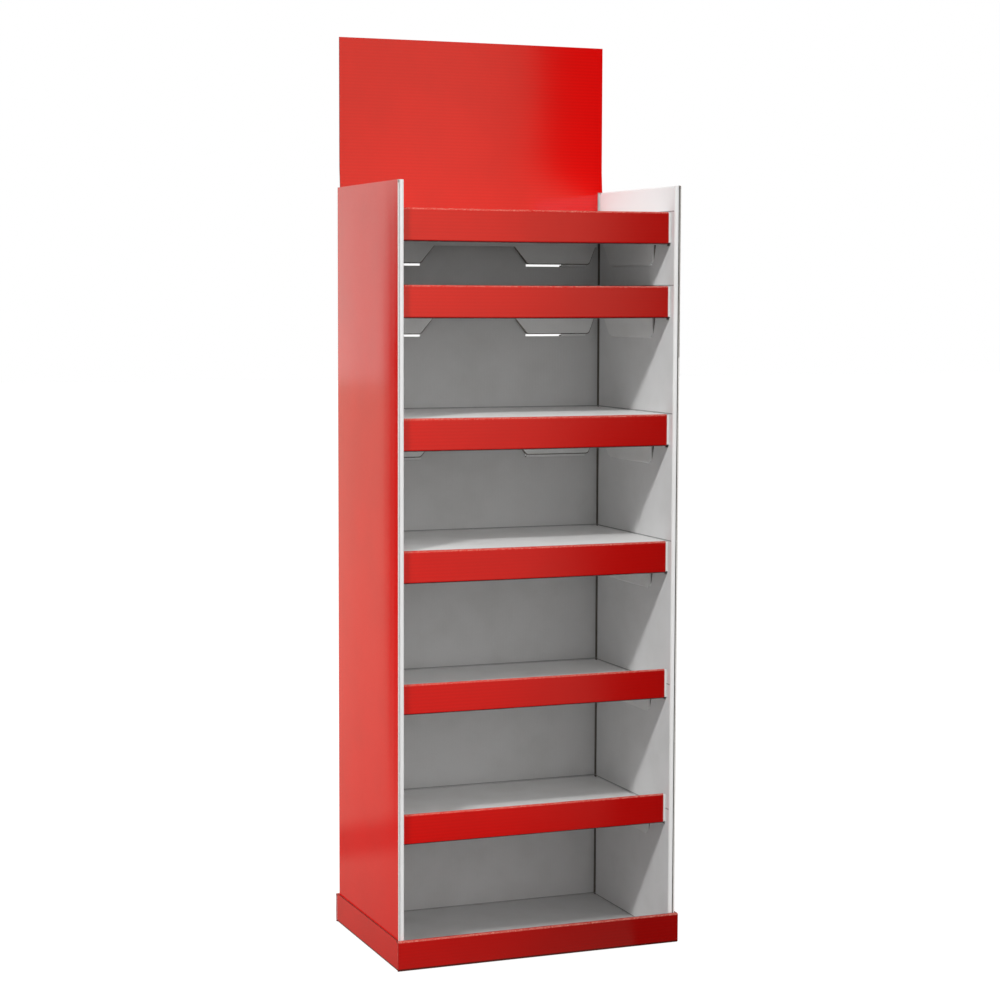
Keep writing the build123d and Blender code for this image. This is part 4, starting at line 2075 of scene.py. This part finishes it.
@dataclass
class Studio:
    """White studio: floor, even light from all round, and soft lamps.

    Args:
        fill: strength of the light from all round.
        left_loss: share of it that is missing at the left.
        left_side: from and to, as the leftward part of a direction, over which that comes up.
        lamps: rectangular lamps.
        dim_side: slants of a reflection between which the room gets dimmer.
        dim: brightness of the room at the end of that.
        dark_side: slants of a reflection between which the dark sides of the room begin.
        dark: brightness of those sides in reflections.
        left_gain: by which the slants at the left count as more.
        warm: colour of the right side of the room in reflections.
        floor_warm: colour of the floor in reflections.
        left_warm: share of that colour at the left side of the room.
        floor_size: of the floor.
        floor_grey: its own colour.
        floor_white: its white towards the camera.
        floor_gloss: its brightness in reflections, far away.
        floor_dim: depth at which it is dark in reflections, and distance to half its brightness.
        floor_dark: slants of a place on the floor between which its dark side begins.
        floor_strip: depths behind the stand between which a dark strip in reflections begins, and ends.
    """

    fill: float = 1.12
    left_loss: float = 0.8
    left_side: Point = (0.0, 0.8)
    lamps: tuple[Lamp, ...] = (
        Lamp("key_lamp", place=(-3.3, -2.85, 4.15), aim=(0.0, 0.0, 0.9), size=(0.6, 0.3), power=124.0),
        Lamp("side_card", place=(-1.5, 0.3, 0.42), aim=(-0.3, 0.0, 0.45), size=(0.8, 0.5), power=11.0),
    )
    dim_side: Point = (0.35, 0.45)
    dim: float = 0.75
    dark_side: Point = (0.434, 0.448)
    dark: float = 0.02
    left_gain: float = 0.1
    warm: Colour = (1.0, 0.97, 0.72)
    floor_warm: Colour = (1.0, 0.95, 0.76)
    left_warm: float = 0.35
    floor_size: float = 60.0
    floor_grey: float = 0.27
    floor_white: float = 0.82
    floor_gloss: float = 0.66
    floor_dim: Point = (-0.8, 1.9)
    floor_dark: Point = (0.385, 0.43)
    floor_strip: tuple[Point, Point] = ((0.62, 0.82), (0.92, 1.15))

    WHITE = (1.0, 1.0, 1.0)
    LEAST = 0.001  # that a slant is divided by
    FLOOR_ROUGHNESS = 0.9
    SLANT_DEPTH = 0.3  # added to the depth of a place on the floor before its slant is taken
    SLANT_LEFT = -0.3  # X from which the slants to the left are counted
    STRIP_DARK = 0.6

    def build(self) -> None:
        """Set up the world, the lamps and the floor."""
        self._world()
        for lamp in self.lamps:
            lamp.build()
        self._floor()
        bpy.context.scene.view_settings.view_transform = "Standard"
        log.info("studio: fill %.2f, %d lamps", self.fill, len(self.lamps))

    def _world(self) -> None:
        """Make a room that is white but for two dark sides in reflections, with even light."""
        world = bpy.data.worlds.new("studio")
        bpy.context.scene.world = world
        world.use_nodes = True
        world.node_tree.nodes.clear()
        tree = NodeTree(world.node_tree)
        rays = tree.node("ShaderNodeLightPath").outputs
        x, y, _ = tree.parts(tree.node("ShaderNodeTexCoord").outputs["Generated"])
        is_left, is_right = tree.math("LESS_THAN", x, 0.0), tree.math("GREATER_THAN", x, 0.0)
        gain = tree.math("MULTIPLY_ADD", is_left, self.left_gain, 1.0)
        across = tree.math("MULTIPLY", tree.math("ABSOLUTE", x), gain)
        slant = tree.math("DIVIDE", across, tree.math("MAXIMUM", tree.math("ABSOLUTE", y), self.LEAST))
        dim = tree.band(slant, self.dim_side, 1.0, self.dim)
        room = tree.math("MULTIPLY", dim, tree.band(slant, self.dark_side, 1.0, self.dark))
        leftward = tree.math("MULTIPLY", x, -1.0)
        share = tree.band(leftward, self.left_side, 1.0, 1.0 - self.left_loss)
        even = tree.math("MULTIPLY", share, self.fill)
        mirrored = tree.math("MAXIMUM", rays["Is Glossy Ray"], rays["Is Transmission Ray"])
        strength = tree.blend(rays["Is Camera Ray"], tree.blend(mirrored, even, room), 1.0)
        warmth = tree.math("MULTIPLY", mirrored, tree.math("MAXIMUM", is_right, self.left_warm))
        inputs = {"Color": tree.mix(warmth, self.WHITE, self.warm), "Strength": strength}
        background = tree.node("ShaderNodeBackground", inputs)
        tree.node("ShaderNodeOutputWorld", {"Surface": background.outputs[0]})

    def _floor(self) -> None:
        """Lay a pale floor that keeps the shadow of the stand."""
        half = self.floor_size / 2
        mesh = bpy.data.meshes.new("floor")
        corners = [(-half, -half, 0.0), (half, -half, 0.0), (half, half, 0.0), (-half, half, 0.0)]
        mesh.from_pydata(corners, [], [(0, 1, 2, 3)])
        shade = Shader("pale_floor")
        rays = shade.node("ShaderNodeLightPath").outputs
        mirrored = rays["Is Glossy Ray"]
        grey = (self.floor_grey,) * 3
        white = shade.math("MULTIPLY", rays["Is Camera Ray"], self.floor_white)
        x, y, _ = shade.parts(shade.place())
        away = shade.math("ABSOLUTE", shade.math("SUBTRACT", y, self.floor_dim[0]))
        share = shade.math("DIVIDE", away, shade.math("ADD", away, self.floor_dim[1]))
        depth = shade.math("ADD", shade.math("ABSOLUTE", y), self.SLANT_DEPTH)
        right = shade.math("DIVIDE", x, depth)
        left = shade.math("DIVIDE", shade.math("SUBTRACT", self.SLANT_LEFT, x), depth)
        slant = shade.math("MAXIMUM", right, left)
        near, far = self.floor_strip
        strip = shade.math("SUBTRACT", shade.band(y, near), shade.band(y, far))
        share = shade.math("MULTIPLY", share, shade.math("MULTIPLY_ADD", strip, -self.STRIP_DARK, 1.0))
        bright = shade.math("SUBTRACT", 1.0, shade.band(slant, self.floor_dark))
        glow = shade.math("MULTIPLY", shade.math("MULTIPLY", share, bright), self.floor_gloss)
        glow = shade.math("MULTIPLY", mirrored, glow)
        inputs = {
            "Base Color": shade.mix(mirrored, grey, (self.dark,) * 3),
            "Roughness": self.FLOOR_ROUGHNESS,
            "Emission Color": shade.mix(mirrored, self.WHITE, self.floor_warm),
            "Emission Strength": shade.math("ADD", white, glow),
        }
        shade.finish(inputs)
        mesh.materials.append(shade.material)
        floor = bpy.data.objects.new("floor", mesh)
        bpy.context.scene.collection.objects.link(floor)


@dataclass(frozen=True)
class PhotoCamera:
    """Camera at the photograph's viewing angle.

    Args:
        place: of the lens.
        yaw: to the right of straight ahead, in degrees.
        pitch: above the horizon, in degrees.
        roll: of the picture, in degrees.
        lens: focal length in millimetres.
    """

    place: Place = (-1.742584, -4.390953, 1.307203)
    yaw: float = 21.507
    pitch: float = -4.998
    roll: float = 0.183
    lens: float = 84.0153

    SENSOR = 36.0

    def build(self) -> None:
        """Set up the camera."""
        data = bpy.data.cameras.new("photo_camera")
        data.lens = self.lens
        data.sensor_width = self.SENSOR
        camera = bpy.data.objects.new("photo_camera", data)
        bpy.context.scene.collection.objects.link(camera)
        yaw, pitch, roll = (math.radians(angle) for angle in (self.yaw, self.pitch, self.roll))
        flat = math.cos(pitch)
        ahead = Vector((math.sin(yaw) * flat, math.cos(yaw) * flat, math.sin(pitch)))
        level = ahead.cross(Vector((0.0, 0.0, 1.0))).normalized()
        above = level.cross(ahead)
        right = level * math.cos(roll) + above * math.sin(roll)
        top = above * math.cos(roll) - level * math.sin(roll)
        turn = Matrix((right, top, -ahead)).transposed().to_4x4()
        camera.matrix_world = Matrix.Translation(Vector(self.place)) @ turn
        bpy.context.scene.camera = camera
        log.info("camera: %.1f mm lens", self.lens)


def main() -> None:
    """Build the sheets, the studio and the camera."""
    logging.basicConfig(level=logging.INFO, format="%(name)s %(message)s")
    planes = Planes.read()
    shelves = [Shelf.numbered(number, planes) for number in range(1, SHELF_COUNT + 1)]
    rear_slots = [slot for shelf in shelves for slot in shelf.rear_slots()]
    cuts = [cut for shelf in shelves for cut in shelf.liner_cuts()]
    wedges = [shelf.liner_cuts()[-1] for shelf in shelves]

    _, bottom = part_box("bottom_board")
    f = Finishes(planes, [bottom.z, *(shelf.floor_top for shelf in shelves)])
    tree = FluteTree(planes.stock, f.core)
    sheets: list[tuple[Sheet, Skins]] = [
        (BaseTray("base_tray", "printed_board", planes), (f.tray, f.plain, f.red_edge)),
        (BottomBoard("bottom_board", "white_board", planes), (f.plain, f.back, f.cut)),
        (OuterWrap("outer_wrap", "printed_board", planes, slots=rear_slots), (f.wrap, f.back, f.cut)),
        (HeaderPanel("header_panel", "printed_board", planes), (f.header, f.plain, f.red_edge)),
    ]
    for name, is_left in (("left_liner", True), ("right_liner", False)):
        liner = Liner(name, "white_board", planes, cuts=cuts, wedges=wedges, is_left=is_left)
        sheets.append((liner, (f.plain, f.inside, f.shaded_edge)))
    sheets += [(shelf, (f.lip, f.shelf, f.shaded_edge)) for shelf in shelves]
    for sheet, skins in sheets:
        sheet.put_up(skins, tree)

    Studio().build()
    PhotoCamera().build()


if __name__ == "__main__":
    main()
